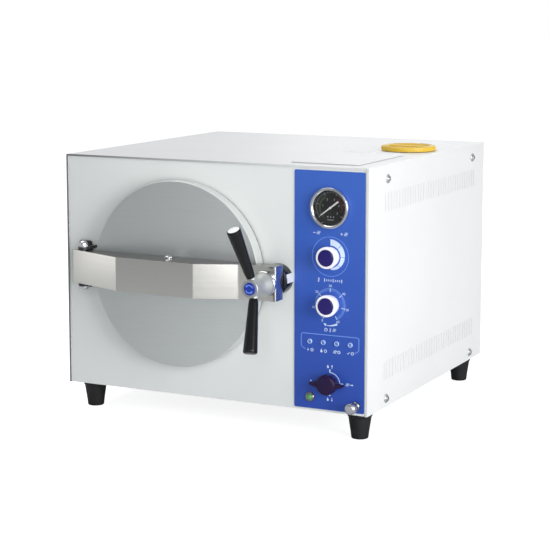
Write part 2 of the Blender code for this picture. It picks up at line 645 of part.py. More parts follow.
def lamps():
    """Four lamps on one board behind the panel, and the mains pilot lamp."""
    board = box((CONTROL_X - 0.038, 0.0080, LAMP_Z - 0.008), (CONTROL_X + 0.038, 0.0096, LAMP_Z + 0.008))
    made = place("indicator_board", board, BOARD_GREEN)
    for x in lamp_places():
        lamp = [(0, -0.0028), (0.0020, -0.0026), (0.0032, -0.0014), (0.0032, 0.0090), (0, 0.0090)]
        join(made, turned(lamp, (x, 0, LAMP_Z), "y", 12))
    pilot = [(0, -0.0058), (0.0030, -0.0052), (0.0048, -0.0034), (0.0050, -0.0030), (0.0065, -0.0030),
             (0.0067, -0.0024), (0.0067, -0.0014), (0.0056, -0.0014), (0.0056, 0.0200), (0, 0.0200)]
    place("pilot_lamp", turned(pilot, (POWER_LAMP[0], 0, POWER_LAMP[1]), "y", 20), GREEN_LENS)


def drain():
    """The drain valve, its knob, and the pipe from the tank."""
    x, z = DRAIN
    centre = (x, 0, z)
    bush = [(0.0027, -0.0060), (0.0056, -0.0060), (0.0066, -0.0050), (0.0066, -0.0014),
            (0.0056, -0.0014), (0.0056, 0.0400), (0, 0.0400), (0, 0.0010), (0.0027, 0.0010)]
    place("drain_valve", turned(bush, centre, "y", 20), BRASS)
    knob = [(0, -0.0240), (0.0060, -0.0240), (0.0077, -0.0225), (0.0078, -0.0140), (0.0060, -0.0120),
            (0.0024, -0.0110), (0.0024, 0), (0, 0)]
    place("drain_knob", turned(knob, centre, "y", 24), CHROME, centre)
    corners = [(x, 0.0404, z), (x, 0.062, z), (0.2125, 0.100, 0.110), (0.2125, 0.100, TANK[2][0] - GAP)]
    tube("drain_pipe", smooth_route(corners, 0.016), 0.0040, TANK_PLASTIC)


# ---------------------------------------------------------------- water tank and top

TANK = ((0.112, 0.230), (0.078, 0.392), (0.226, 0.3365))


def water_tank():
    (x0, x1), (y0, y1), (z0, z1) = TANK
    wall = 0.003
    made = place("water_tank", box((x0, y0, z0), (x1, y1, z1)), TANK_PLASTIC)
    join(made, rod((CAP_X, CAP_Y, 0), "z", 0.0310, 0.330, 0.3425, 32))
    cut(made, box((x0 + wall, y0 + wall, z0 + wall), (x1 - wall, y1 - wall, z1 - wall)))
    cut(made, box((0.120, 0.084, 0.320), (0.204, 0.182, 0.350)))
    cut(made, rod((CAP_X, CAP_Y, 0), "z", 0.0280, 0.320, 0.350, 32))

    lid_low, lid_high, plug_low = HEIGHT + 0.0006, HEIGHT + 0.0019, HEIGHT - 0.0030
    half = (LID_X[1] - LID_X[0]) / 2
    hinge = ((LID_X[0] + LID_X[1]) / 2, LID_Y[1], HEIGHT + 0.0018)
    outline = rounded(*LID_X, *LID_Y, 0.006)
    made = place("tank_lid", prism([outline], "xy", lid_low, lid_high), WHITE_PAINT, hinge)
    edge = 0.0012
    x0, x1, y0, y1 = 0.1195, 0.2045, 0.0835, 0.1825
    rim = [rounded(x0, x1, y0, y1, 0.002, 1), rounded(x0 + edge, x1 - edge, y0 + edge, y1 - edge, 0.002, 1)]
    join(made, prism(rim, "xy", plug_low, lid_low + 0.0003))
    join(made, rod(hinge, "x", 0.0014, 0.006 - half, half - 0.006, 12))

    grip_r, floor = 0.030, 0.3455
    cap = [(0, 0.3440), (0.0325, 0.3440), (0.0325, 0.3408), (CAP_R, 0.3408), (CAP_R, 0.3464),
           (CAP_R - 0.0016, 0.3480), (grip_r + 0.001, 0.3480), (grip_r, 0.3470), (grip_r, floor),
           (0, floor)]
    axis_point = (CAP_X, CAP_Y, HEIGHT)
    made = place("filler_cap", turned(cap, (CAP_X, CAP_Y, 0), "z", 36), YELLOW_CAP, axis_point)
    join(made, box((CAP_X - grip_r - 0.002, CAP_Y - 0.004, floor - 0.001),
                   (CAP_X + grip_r + 0.002, CAP_Y + 0.004, 0.3478)))


# ---------------------------------------------------------------- back


def back_fittings():
    centre = (DOOR_X, 0, STEAM_Z)
    out = DEPTH - 0.0004 + GAP
    body = [(0, 0.4332), (0.0040, 0.4332), (0.0040, 0.4500), (0.0060, 0.4500), (0.0060, out),
            (0.0105, out), (0.0105, out + 0.004),
            (0.0085, out + 0.005), (0.0085, out + 0.0150), (0.0060, out + 0.0165),
            (0.0027, out + 0.0165), (0.0027, out + 0.0065), (0, out + 0.0065)]
    place("safety_valve", turned(body, centre, "y", 24), BRASS)
    pull = [(0, out + 0.0075), (0.0022, out + 0.0075), (0.0022, out + 0.0182), (0.0066, out + 0.0182),
            (0.0072, out + 0.0190), (0.0066, out + 0.0212), (0.0040, out + 0.0222), (0, out + 0.0224)]
    place("safety_valve_pull", turned(pull, centre, "y", 20), CHROME, centre)

    x0, x1, z0, z1 = INLET_CUT
    flange = box((x0 - 0.008, out, z0 - 0.002), (x1 + 0.008, out + 0.0025, z1 + 0.002))
    made = place("mains_inlet", flange, BLACK_PLASTIC)
    join(made, box((x0 + 0.0005, 0.436, z0 + 0.0005), (x1 - 0.0005, out + 0.001, z1 - 0.0005)))
    cut(made, box((x0 + 0.003, 0.448, z0 + 0.004), (x1 - 0.003, 0.47, z0 + 0.020)))
    join(made, box((x0 + 0.004, out + 0.001, z1 - 0.018), (x1 - 0.004, out + 0.0040, z1 - 0.004)))


def build():
    case_base()
    case_front()
    case_cover()
    case_back()
    feet()
    cover_screws()
    pressure_vessel()
    heater()
    rack_and_trays()
    cradle()
    door()
    clamp_bar()
    bar_hinge()
    lock()
    gauge()
    dial_knobs()
    selector()
    lamps()
    drain()
    water_tank()
    back_fittings()


build()
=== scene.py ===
"""Looks of the bench-top autoclave: materials, finely made pieces, floor, lights and camera.

Pieces are measured in the body frame: X to the right, Y back from the face of the front panel, and Z
up from the underside of the case. Their sizes are millimetres, and a finished mesh is scaled to metres.
Lights, the camera and the grain of materials are in metres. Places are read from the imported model's
nodes.
"""

import math

import bmesh
import bpy
from mathutils import Matrix, Vector
from mathutils.geometry import tessellate_polygon


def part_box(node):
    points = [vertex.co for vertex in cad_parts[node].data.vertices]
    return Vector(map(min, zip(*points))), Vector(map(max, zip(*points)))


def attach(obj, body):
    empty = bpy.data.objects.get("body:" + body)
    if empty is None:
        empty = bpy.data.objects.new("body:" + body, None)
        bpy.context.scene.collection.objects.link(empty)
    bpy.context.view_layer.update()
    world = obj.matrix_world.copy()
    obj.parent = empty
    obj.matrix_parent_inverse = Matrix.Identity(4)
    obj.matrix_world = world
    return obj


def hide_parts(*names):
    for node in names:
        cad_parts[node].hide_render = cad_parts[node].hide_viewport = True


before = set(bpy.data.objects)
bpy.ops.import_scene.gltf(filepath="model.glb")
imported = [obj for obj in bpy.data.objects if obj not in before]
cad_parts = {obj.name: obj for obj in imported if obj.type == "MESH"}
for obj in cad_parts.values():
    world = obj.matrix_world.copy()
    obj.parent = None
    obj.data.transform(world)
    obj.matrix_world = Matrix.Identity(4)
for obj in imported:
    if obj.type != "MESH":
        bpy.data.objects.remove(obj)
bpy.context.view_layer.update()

# ---- places read from the frame

MM = 0.001
ORIGIN = Vector((0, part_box("front_panel")[0].y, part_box("outer_cover")[0].z))


class Spot:
    """Where a CAD node lies in the body frame, in millimetres."""

    def __init__(self, node):
        self.low, self.high = ((corner - ORIGIN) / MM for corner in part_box(node))
        self.x, self.y, self.z = (self.low + self.high) / 2
        self.radius = (self.high.x - self.low.x) / 2
        self.front, self.back = self.low.y, self.high.y
        self.centre = Vector((self.x, 0, self.z))
        self.plan = Vector((self.x, self.y, 0))


COVER, LABEL, GAUGE = Spot("outer_cover"), Spot("control_label"), Spot("gauge_case")
DOOR, BAR, HINGE = Spot("door_cover"), Spot("clamp_bar"), Spot("hinge_pin")
LOCK = Spot("spindle_bush").centre
KNOB_X = Spot("temperature_knob").x
LAMP_PITCH = 20.2

# ---- materials

MATERIALS = {}


class Look:
    """One material under construction: a Principled shader with helpers for its procedural parts."""

    def __init__(self, name, colour, roughness, metallic=0.0):
        self.material = bpy.data.materials.new(name)
        self.material.use_nodes = True
        self.tree = self.material.node_tree
        self.shader = self.tree.nodes["Principled BSDF"]
        self.set("Base Color", (*colour, 1))
        self.set("Roughness", roughness)
        self.set("Metallic", metallic)
        self.colour, self.roughness = colour, roughness
        self.where = self.tree.nodes.new("ShaderNodeTexCoord").outputs["Object"]
        MATERIALS[name] = self.material

    def set(self, socket, value):
        self.shader.inputs[socket].default_value = value

    def node(self, kind, **inputs):
        made = self.tree.nodes.new(kind)
        for name, value in inputs.items():
            made.inputs[name].default_value = value
        return made

    def link(self, start, end):
        self.tree.links.new(start, end)

    def noise(self, scale, stretch=(1, 1, 1), detail=3.0, turn=(0, 0, 0)):
        """Noise of so many features to the metre, drawn out along an axis by a stretch under 1."""
        mapping = self.node("ShaderNodeMapping", Scale=stretch, Rotation=turn)
        self.link(self.where, mapping.inputs["Vector"])
        made = self.node("ShaderNodeTexNoise", Scale=scale, Detail=detail)
        self.link(mapping.outputs["Vector"], made.inputs["Vector"])
        return made.outputs["Fac"]

    def spread(self, source, low, high, span=(0.3, 0.7)):
        """A number that follows the source between two values."""
        made = self.node("ShaderNodeMapRange")
        made.inputs["From Min"].default_value, made.inputs["From Max"].default_value = span
        made.inputs["To Min"].default_value, made.inputs["To Max"].default_value = low, high
        self.link(source, made.inputs["Value"])
        return made.outputs["Result"]

    def slope(self, way):
        """The distance along one direction, in millimetres."""
        made = self.node("ShaderNodeVectorMath")
        made.operation = "DOT_PRODUCT"
        made.inputs[1].default_value = Vector(way) / MM
        self.link(self.where, made.inputs[0])
        return made.outputs["Value"]

    def vary_colour(self, source, other, span=(0.3, 0.7)):
        """The base colour runs from its own value to another one with the source."""
        ramp = self.node("ShaderNodeValToRGB")
        first, last = ramp.color_ramp.elements
        first.position, last.position = span
        first.color, last.color = (*self.colour, 1), (*other, 1)
        self.link(source, ramp.inputs["Fac"])
        self.link(ramp.outputs["Color"], self.shader.inputs["Base Color"])

    def scale_colour(self, low, high, span):
        """Painted light and shade: the base colour is multiplied by a share that drifts from left to right,
        darker where less light falls.
        """
        base = self.shader.inputs["Base Color"]
        toned = self.node("ShaderNodeVectorMath")
        toned.operation = "SCALE"
        self.link(base.links[0].from_socket, toned.inputs[0])
        self.link(self.spread(self.slope((1, 0, 0)), low, high, span), toned.inputs["Scale"])
        self.link(toned.outputs[0], base)

    def vary_roughness(self, source, low, high, span=(0.3, 0.7)):
        self.link(self.spread(source, low, high, span), self.shader.inputs["Roughness"])

    def bump(self, source, height, strength=1.0):
        made = self.node("ShaderNodeBump", Distance=height, Strength=strength)
        self.link(source, made.inputs["Height"])
        self.link(made.outputs["Normal"], self.shader.inputs["Normal"])


def tint(colour, share):
    return tuple(min(1.0, value * share) for value in colour)


def painted(name, colour, roughness=0.38):
    """Powder coat: a fine orange peel and a hardly seen drift of tone."""
    look = Look(name, colour, roughness)
    look.vary_colour(look.noise(7), tint(colour, 0.965))
    look.vary_roughness(look.noise(160), roughness - 0.05, roughness + 0.06)
    look.bump(look.noise(900, detail=2), 0.00004, 0.5)
    return look


def brushed(name, colour, roughness, stretch, height=0.000012, shade=0.9, wander=0.06):
    """Steel ground along one axis, with long fine scratches."""
    look = Look(name, colour, roughness, 1.0)
    grain = look.noise(1500, stretch, 4)
    look.vary_colour(grain, tint(colour, shade))
    look.vary_roughness(look.noise(500, stretch, 5), roughness - wander, roughness + wander)
    look.bump(grain, height, 0.6)
    return look


def metal(name, colour, roughness, wander=0.04, scale=220):
    """Plated or cast metal, with faint smears in its gloss."""
    look = Look(name, colour, roughness, 1.0)
    look.vary_colour(look.noise(60), tint(colour, 0.93))
    look.vary_roughness(look.noise(scale), max(roughness - wander, 0.03), roughness + wander)
    look.bump(look.noise(scale * 0.5), 0.00001, 0.3)
    return look


def moulded(name, colour, roughness, other=1.25, grain=1400, height=0.00003, wander=0.06, depth=0.35):
    """Moulded plastic with a fine spark-eroded grain."""
    look = Look(name, colour, roughness)
    look.vary_colour(look.noise(90), tint(colour, other))
    look.vary_roughness(look.noise(300), roughness - wander, roughness + wander)
    look.bump(look.noise(grain, detail=1), height, depth)
    return look


def polished(name, colour, roughness, specular=0.5):
    """Smooth plastic, with only a slight drift in its tone and gloss."""
    look = moulded(name, colour, roughness, 1.12, 1200, 0.000002, 0.02, 0.1)
    look.set("Specular IOR Level", specular)
    return look


def printed(name, colour, other):
    """Screen print: an even ink with slight pinholes of tone."""
    look = Look(name, colour, 0.42)
    look.vary_colour(look.noise(700), other, (0.25, 0.65))
    look.vary_roughness(look.noise(400), 0.36, 0.5)


def label_film():
    """The glossy blue overlay, with painted light: lighter towards its top."""
    look = Look("blue_label", (0.024, 0.072, 0.4), 0.3)
    look.set("Specular IOR Level", 0.34)
    ground = ORIGIN.z / MM
    rise = look.spread(look.slope((0, 0, 1)), 0, 1, (LABEL.low.z + ground, LABEL.high.z + ground))
    look.vary_colour(rise, (0.045, 0.124, 0.5), (0.05, 0.95))
    look.vary_roughness(look.noise(60), 0.29, 0.33)
    look.bump(look.noise(1300, detail=1), 0.000004, 0.1)


def edge_trim():
    """Painted shade on the cover's front edge, standing in for the shadow in the gap: dark at the left and
    lighter towards the right.
    """
    look = Look("edge_trim", (0.15, 0.155, 0.16), 0.5)
    across = look.spread(look.slope((1, 0, 0)), 0, 1, (COVER.low.x, LABEL.low.x))
    look.vary_colour(across, (0.66, 0.67, 0.67), (0, 1))
    look.vary_roughness(look.noise(160), 0.45, 0.55)


def clear_window():
    look = Look("gauge_window", (0.97, 0.98, 1.0), 0.03)
    look.set("Transmission Weight", 1.0)
    look.set("IOR", 1.12)
    look.vary_roughness(look.noise(80), 0.015, 0.05)


def lens(name, colour, glow):
    look = Look(name, colour, 0.12)
    look.set("Coat Weight", 0.6)
    look.set("Emission Color", (*colour, 1))
    look.set("Emission Strength", glow)
    look.vary_colour(look.noise(500), tint(colour, 1.6))
    look.bump(look.noise(900), 0.00004, 0.4)


def wool():
    look = Look("mineral_wool", (0.62, 0.58, 0.45), 0.95)
    fibre = look.noise(260, (1, 0.15, 1), 8)
    look.vary_colour(fibre, (0.42, 0.38, 0.27))
    look.bump(fibre, 0.002)


def make_materials():
    painted("white_paint", (0.766, 0.796, 0.786))
    front = painted("front_paint", (0.766, 0.796, 0.786))
    # Painted shade: the front panel's paint is darker at the left and lighter towards the door, as the light
    # falls.
    front.scale_colour(0.92, 1.02, (COVER.low.x, DOOR.x))
    painted("cover_paint", (0.8, 0.808, 0.815), 0.42)
    door_steel = brushed("door_steel", (0.735, 0.768, 0.766), 0.44, (0.012, 1, 1), 0.000005, 0.955, 0.03)
    # Painted light and shade: the door's steel is darker at the left and lighter at the right.
    door_steel.scale_colour(0.9, 1.13, (DOOR.x - 100, DOOR.x + 80))
    edge_trim()
    brushed("bar_steel", (0.69, 0.68, 0.645), 0.17, (0.012, 0.012, 1), 0.000003, 0.95, 0.02)
    brushed("bar_top_painted_shade", (0.205, 0.197, 0.18), 0.2, (0.012, 1, 0.012), 0.000003, 0.95, 0.02)
    brushed("chamber_steel", (0.6, 0.61, 0.62), 0.28, (1, 0.04, 1))
    brushed("tray_steel", (0.62, 0.63, 0.64), 0.3, (1, 0.05, 1))
    metal("chrome", (0.74, 0.75, 0.78), 0.1, 0.03)
    metal("black_chrome", (0.046, 0.05, 0.062), 0.16, 0.02)
    metal("rim_steel", (0.62, 0.645, 0.63), 0.5).set("Metallic", 0.25)
    metal("socket_painted_highlight", (0.8, 0.81, 0.82), 0.48).set("Metallic", 0.2)
    metal("bar_end_painted_reflection", (0.62, 0.63, 0.7), 0.2, 0.04)
    metal("satin_chrome", (0.68, 0.69, 0.72), 0.2)
    metal("zinc_plate", (0.5, 0.52, 0.54), 0.4, 0.08)
    metal("hub_zinc", (0.52, 0.54, 0.52), 0.43, 0.03).set("Metallic", 0.6)
    metal("nickel", (0.36, 0.35, 0.31), 0.26, 0.05)
    metal("brass", (0.62, 0.5, 0.3), 0.28, 0.08)
    moulded("black_steel", (0.02, 0.021, 0.024), 0.34)
    polished("black_plastic", (0.004, 0.0045, 0.005), 0.22, 0.38)
    polished("selector_plastic", (0.014, 0.005, 0.04), 0.3, 0.26)
    rubber = moulded("rubber", (0.009, 0.009, 0.01), 0.55, 1.4, 700, 0.00004)
    rubber.set("Specular IOR Level", 0.35)
    moulded("silicone", (0.62, 0.28, 0.2), 0.5, 0.9)
    polished("blue_cap", (0.014, 0.007, 0.12), 0.24, 0.4)
    polished("hub_blue", (0.01, 0.034, 0.33), 0.24, 0.4)
    polished("upper_plug_painted_reflection", (0.86, 0.87, 0.88), 0.3)
    polished("lamp_rim", (0.4, 0.56, 0.86), 0.3)
    polished("knob_white", (0.92, 0.9, 0.98), 0.28)
    moulded("dial_black", (0.012, 0.012, 0.011), 0.45)
    moulded("yellow_cap", (0.715, 0.48, 0.043), 0.4, 0.92)
    moulded("yellow_painted_shade", (0.42, 0.27, 0.04), 0.45, 0.9)
    moulded("tank_plastic", (0.72, 0.74, 0.72), 0.4, 0.95)
    moulded("board_green", (0.03, 0.16, 0.07), 0.4)
    printed("print_white", (0.66, 0.78, 0.95), (0.56, 0.68, 0.9))
    printed("print_pale", (0.15, 0.29, 0.78), (0.125, 0.255, 0.73))
    printed("print_green", (0.07, 0.095, 0.045), (0.045, 0.065, 0.03))
    printed("print_red", (0.11, 0.022, 0.02), (0.075, 0.016, 0.015))
    printed("print_grey", (0.5, 0.5, 0.47), (0.38, 0.38, 0.36))
    printed("needle_white", (0.86, 0.86, 0.84), (0.76, 0.76, 0.74))
    label_film()
    clear_window()
    lens("green_lens", (0.075, 0.235, 0.085), 0.02)
    lens("lamp_lens", (0.1, 0.16, 0.42), 0.0)
    wool()


make_materials()

# ---- shape helpers

AXES = {"x": Vector((1, 0, 0)), "y": Vector((0, 1, 0)), "z": Vector((0, 0, 1))}


def polar(x, y, reach, angle):
    """The point at a distance from another, along an angle in degrees."""
    turn = math.radians(angle)
    return (x + reach * math.cos(turn), y + reach * math.sin(turn))


def circle(x, y, radius, steps):
    return [polar(x, y, radius, 360 * i / steps) for i in range(steps)]


def arc(x, y, radius, start, end, steps):
    """Points along an arc, from one angle to another in degrees."""
    return [polar(x, y, radius, start + (end - start) * i / steps) for i in range(steps + 1)]


def band(x, y, inner, outer, start, end, steps):
    """The outline of a stretch of a flat ring."""
    return arc(x, y, outer, start, end, steps) + arc(x, y, inner, end, start, steps)


def dome(radius, start, rise, angles):
    """Profile points of a round end that starts at one distance and rises from it."""
    points = [polar(0, 0, 1, angle) for angle in angles]
    return [(radius * across, start + rise * along) for across, along in points]


def rounded(x0, x1, y0, y1, radius, steps=6):
    """A rectangle with round corners, anticlockwise."""
    points = []
    for i, (x, y) in enumerate(((x1 - radius, y0 + radius), (x1 - radius, y1 - radius),
                                (x0 + radius, y1 - radius), (x0 + radius, y0 + radius))):
        points += arc(x, y, radius, 90 * i - 90, 90 * i, steps)
    return points


def softened(corners, radius, steps=6):
    """A closed outline with rounded corners; a corner may give its own radius as a third value."""
    points = []
    for i, corner in enumerate(corners):
        own = corner[2] if len(corner) > 2 else radius
        here = Vector(corner[:2])
        if own == 0:
            points.append(tuple(here))
            continue
        before = Vector(corners[i - 1][:2]) - here
        after = Vector(corners[(i + 1) % len(corners)][:2]) - here
        half = before.angle(after) / 2
        reach = min(own / math.tan(half), 0.48 * before.length, 0.48 * after.length)
        start, end = here + before.normalized() * reach, here + after.normalized() * reach
        for k in range(steps + 1):
            t = k / steps
            points.append(tuple(start * (1 - t) ** 2 + here * 2 * t * (1 - t) + end * t ** 2))
    return points


def prism(loops, plane, low, high):
    """An outline, with any holes after it, extruded across the named plane."""
    place = {
        "xz": lambda p, h: (p[0], h, p[1]),
        "xy": lambda p, h: (p[0], p[1], h),
        "yz": lambda p, h: (h, p[0], p[1]),
    }[plane]
    shape = bmesh.new()
    ends = []
    for height in (low, high):
        ends.append([[shape.verts.new(place(p, height)) for p in loop] for loop in loops])
    for rings in ends:
        if len(loops) == 1:
            shape.faces.new(rings[0])
            continue
        flat = [[Vector((p[0], p[1], 0)) for p in loop] for loop in loops]
        points = [vertex for ring in rings for vertex in ring]
        for triangle in tessellate_polygon(flat):
            shape.faces.new([points[i] for i in triangle])
    for lower, upper in zip(*ends):
        for i in range(len(lower)):
            shape.faces.new((lower[i - 1], lower[i], upper[i], upper[i - 1]))
    bmesh.ops.recalc_face_normals(shape, faces=shape.faces)
    return shape


def turned(profile, centre, steps=96, corner=5, axis="y"):
    """A profile of (radius, distance along the axis, corner radius) turned about an axis through centre."""
    along = AXES[axis] if isinstance(axis, str) else Vector(axis).normalized()
    spin = along.to_track_quat("Z", "Y").to_matrix().to_4x4()
    shape = bmesh.new()
    rings = []
    for radius, distance in softened(profile, 0, corner):
        if radius == 0:
            rings.append([shape.verts.new((0, 0, distance))] * steps)
            continue
        rings.append([shape.verts.new((x, y, distance)) for x, y in circle(0, 0, radius, steps)])
    for ring, following in zip(rings, rings[1:] + rings[:1]):
        for i in range(steps):
            distinct = list(dict.fromkeys((ring[i - 1], ring[i], following[i], following[i - 1])))
            if len(distinct) > 2:
                shape.faces.new(distinct)
    bmesh.ops.recalc_face_normals(shape, faces=shape.faces)
    bmesh.ops.transform(shape, matrix=Matrix.Translation(centre) @ spin, verts=shape.verts)
    return shape


def rod(centre, axis, radius, low, high, edge=0, steps=48):
    """A round bar with softened ends."""
    profile = [(0, low), (radius, low, edge), (radius, high, edge), (0, high)]
    return turned(profile, centre, steps, 4, axis)


def ribs(count, centre, axis, reach, radius, low, high, edge):
    """Thin rods set evenly round a knob."""
    made = []
    for across, up in circle(0, 0, reach, count):
        foot = Vector((across, 0, up) if axis == "y" else (across, up, 0))
        made.append(rod(centre + foot, axis, radius, low, high, edge, 8))
    return made


def block(low, high):
    outline = [(low[0], low[1]), (high[0], low[1]), (high[0], high[1]), (low[0], high[1])]
    return prism([outline], "xy", low[2], high[2])


def gathered(shapes):
    """Several closed shapes in one."""
    joined = bmesh.new()
    for shape in shapes:
        mesh = bpy.data.meshes.new("gathered")
        shape.to_mesh(mesh)
        shape.free()
        joined.from_mesh(mesh)
        bpy.data.meshes.remove(mesh)
    return joined


def mesh_of(name, shape):
    """A mesh in metres from a shape in millimetres."""
    mesh = bpy.data.meshes.new(name)
    shape.to_mesh(mesh)
    shape.free()
    mesh.transform(Matrix.Scale(MM, 4))
    return mesh


def placed(name, data, place=(0, 0, 0)):
    """A new object of the scene."""
    made = bpy.data.objects.new(name, data)
    made.location = place
    bpy.context.collection.objects.link(made)
    return made


def smooth(mesh, sharp):
    mesh.shade_smooth()
    mesh.set_sharp_from_angle(angle=math.radians(sharp))


def piece(name, shape, look, body="cabinet", node=None, bevel=0, sharp=30):
    """A named piece, from one shape or a list, that rides on a body and may stand for a CAD node."""
    mesh = mesh_of(name, gathered(shape) if isinstance(shape, list) else shape)
    smooth(mesh, sharp)
    mesh.materials.append(MATERIALS[look])
    made = placed(name, mesh, ORIGIN)
    if bevel:
        modifier = made.modifiers.new("Edges", "BEVEL")
        modifier.width = bevel * MM
        modifier.segments = 3
        modifier.limit_method = "ANGLE"
        modifier.angle_limit = math.radians(sharp)
        modifier.harden_normals = True
    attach(made, body)
    if node:
        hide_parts(node)
    return made


def also(made, look, chosen):
    """Gives the faces that pass a test a second material."""
    made.data.materials.append(MATERIALS[look])
    index = len(made.data.materials) - 1
    for face in made.data.polygons:
        if chosen(face.center / MM, face.normal):
            face.material_index = index


def cut(made, shape):
    """Cuts a shape out of a piece, for good, before its edges are softened."""
    cutter = placed("cutter", mesh_of("cutter", shape), ORIGIN)
    for other in made.modifiers:
        other.show_viewport = False
    modifier = made.modifiers.new("Cut", "BOOLEAN")
    modifier.object = cutter
    modifier.operation = "DIFFERENCE"
    bpy.context.view_layer.update()
    made.data = bpy.data.meshes.new_from_object(made.evaluated_get(bpy.context.evaluated_depsgraph_get()))
    made.modifiers.remove(modifier)
    for other in made.modifiers:
        other.show_viewport = True
    smooth(made.data, 30)
    bpy.data.objects.remove(cutter)


# ---- case


def louvre_hoods():
    """A pressed hood over each slot in the cover's sides, open towards the front."""
    rows = ((40, 65), (275.5, 300.5))
    first, last, count, slot = 58, 416, 36, 3
    rise, overlap, tail, wall, sunk = 0.4, 1.2, 3.2, 0.2, -0.1
    pitch = (last - first - slot) / (count - 1)
    section = [(slot + tail, sunk), (slot + tail * 0.5, rise * 0.45), (slot - 0.4, rise * 0.92), (0, rise),
               (0, rise - wall), (slot - 0.6, rise * 0.92 - wall), (slot + tail * 0.45, sunk)]
    for side, name in ((-1, "left"), (1, "right")):
        hoods = []
        for low, high in rows:
            for i in range(count):
                outline = [(side * (COVER.high.x + out), first + pitch * i + along) for along, out in section]
                hoods.append(prism([outline], "xy", low - overlap, high + overlap))
        piece(f"louvre_hoods_{name}", hoods, "cover_paint")


def cover_screws():
    """Pan heads with a cross recess on cup washers, each turned a little differently."""
    cup = [(2, 0.2), (6.2, 0.2), (6.5, 0.6), (5.6, 1.8), (4.8, 2), (4.3, 1.4), (2, 1.4)]
    head = [(0, 0.5), (4, 0.5), (4, 3.2, 1), (2.2, 4, 3), (0, 4.2)]
    arm, cross = [(2.2, -0.5), (2.2, 0.5), (0.5, 0.5)], []
    for _ in range(4):
        cross += arm
        arm = [(-y, x) for x, y in arm]
    for side, facing, about in (("left", -1, 180), ("right", 1, 0)):
        for row in ("front", "rear"):
            for level in ("low", "high"):
                node = f"screw_{side}_{row}_{level}"
                spot = Spot(node)
                place = Matrix.Translation(Vector((facing * COVER.high.x, spot.y, spot.z)) * MM)
                place @= Matrix.Rotation(math.radians(about), 4, "Z")
                place @= Matrix.Rotation(math.radians(17 * (row == "rear") + 31 * (level == "low")), 4, "X")
                made = piece(f"{node}_head", turned(head, (0, 0, 0), 40, 5, "x"), "satin_chrome", node=node)
                cut(made, prism([cross], "yz", 2.8, 5))
                made.data.transform(place)
                washer = piece(f"{node}_cup", turned(cup, (0, 0, 0), 40, axis="x"), "hub_zinc")
                washer.data.transform(place)


def panel_return():
    """The folded edge of the front panel, which closes the narrow gap to the cover."""
    gap, inner, inner_top = 2.8, 234, 334
    outer, top = COVER.high.x - gap, COVER.high.z - gap
    loops = [rounded(-outer, outer, 0.4, top, 1.5), rounded(-inner, inner, 2.2, inner_top, 1.2)]
    piece("front_panel_return", prism(loops, "xz", 0.5, 3), "white_paint")


def cover_edge():
    """A thin strip of painted shade over the cover's front edge, up one side, over the top and down the
    other.
    """
    shade_width, bend, half = 2.8, 2, 0.2
    side, top, foot = COVER.high.x, COVER.high.z, COVER.low.z
    outline = [(side, foot)] + arc(side - bend, top - bend, bend, 0, 90, 6)
    outline += arc(bend - side, top - bend, bend, 90, 180, 6) + [(-side, foot), (shade_width - side, foot)]
    outline += [(shade_width - side, top - shade_width), (side - shade_width, top - shade_width), (side - shade_width, foot)]
    piece("cover_front_edge", prism([outline], "xz", COVER.front - half, COVER.front + half), "edge_trim")


def feet():
    for row in ("front", "rear"):
        for side in ("left", "right"):
            node = f"foot_{row}_{side}"
            spot = Spot(node)
            sole, wide = spot.low.z, spot.radius
            profile = [(0, sole + 4), (7, sole + 4), (7, sole), (11.8, sole, 1.6), (13.2, sole * 0.72, 4),
                       (16.2, -8.5, 2), (wide, -6.8, 1.2), (wide, -0.3, 0.4), (0, -0.3)]
            piece(f"{node}_rubber", turned(profile, spot.plan, 80, 6, "z"), "rubber", node=node)


def tank_lid():
    """The hinged lid: a thin panel, seven knuckles along its rear edge and a lip that enters the tank."""
    spot = Spot("tank_lid")
    low, high = spot.low, spot.high
    hinge_y = high.y - 1.4
    face, under, hinge_z = 341.9, 340.6, 341.8
    inset, gap, knuckles = 6, 0.3, 7
    shapes = [prism([rounded(low.x, high.x, low.y, hinge_y, 6, 8)], "xy", under, face)]
    knuckle = (high.x - low.x - 2 * inset) / knuckles
    for i in range(knuckles):
        start = low.x + inset + knuckle * i
        radius = 1.4 if i % 2 else 1.35
        shapes.append(rod((0, hinge_y, hinge_z), "x", radius, start + gap, start + knuckle - gap, 0.2, 24))
    lip = [rounded(119.5, 204.5, 83.5, 182.5, 3), rounded(121, 203, 85, 181, 2)]
    shapes.append(prism(lip, "xy", low.z, under + 0.2))
    piece("tank_lid_panel", shapes, "cover_paint", "water_lid", "tank_lid", 0.3)


def filler_cap():
    """The yellow screw cap: a ribbed rim, a sunk centre with a grip bar, and four thin arcs of darker yellow,
    painted shade.
    """
    spot = Spot("filler_cap")
    radius, top, base = spot.radius - 0.4, spot.high.z - 0.2, 340.8
    floor, well = 345.5, 30
    profile = [(0, 344), (32.5, 344), (32.5, base), (radius, base, 0.4), (radius, top - 0.9, 0.8),
               (radius - 1.8, top, 0.8), (well + 1, top, 0.6), (well, floor, 0.8), (0, floor)]
    shapes = [turned(profile, spot.plan, 120, 4, "z")]
    shapes += ribs(72, spot.plan, "z", radius - 0.1, 0.5, base + 0.4, top - 1.4, 0.3)
    piece("filler_cap_body", shapes, "yellow_cap", "filler", "filler_cap")
    bar = softened([(-31.2, -3.6), (0, -4.6), (31.2, -3.6), (31.2, 3.6), (0, 4.6), (-31.2, 3.6)], 1)
    outline = [(spot.x + x, spot.y + y) for x, y in bar]
    piece("filler_cap_grip", prism([outline], "xy", floor - 1, top - 0.2), "yellow_cap", "filler", bevel=0.8)
    # Painted shade: four thin arcs of darker yellow on the rim.
    shades = []
    for start, end in ((40, 82), (98, 150), (222, 262), (285, 330)):
        shades.append(prism([band(spot.x, spot.y, 34.5, 37.5, start, end, 20)], "xy", top - 0.2, spot.high.z))
    piece("filler_cap_painted_shade", shades, "yellow_painted_shade", "filler")


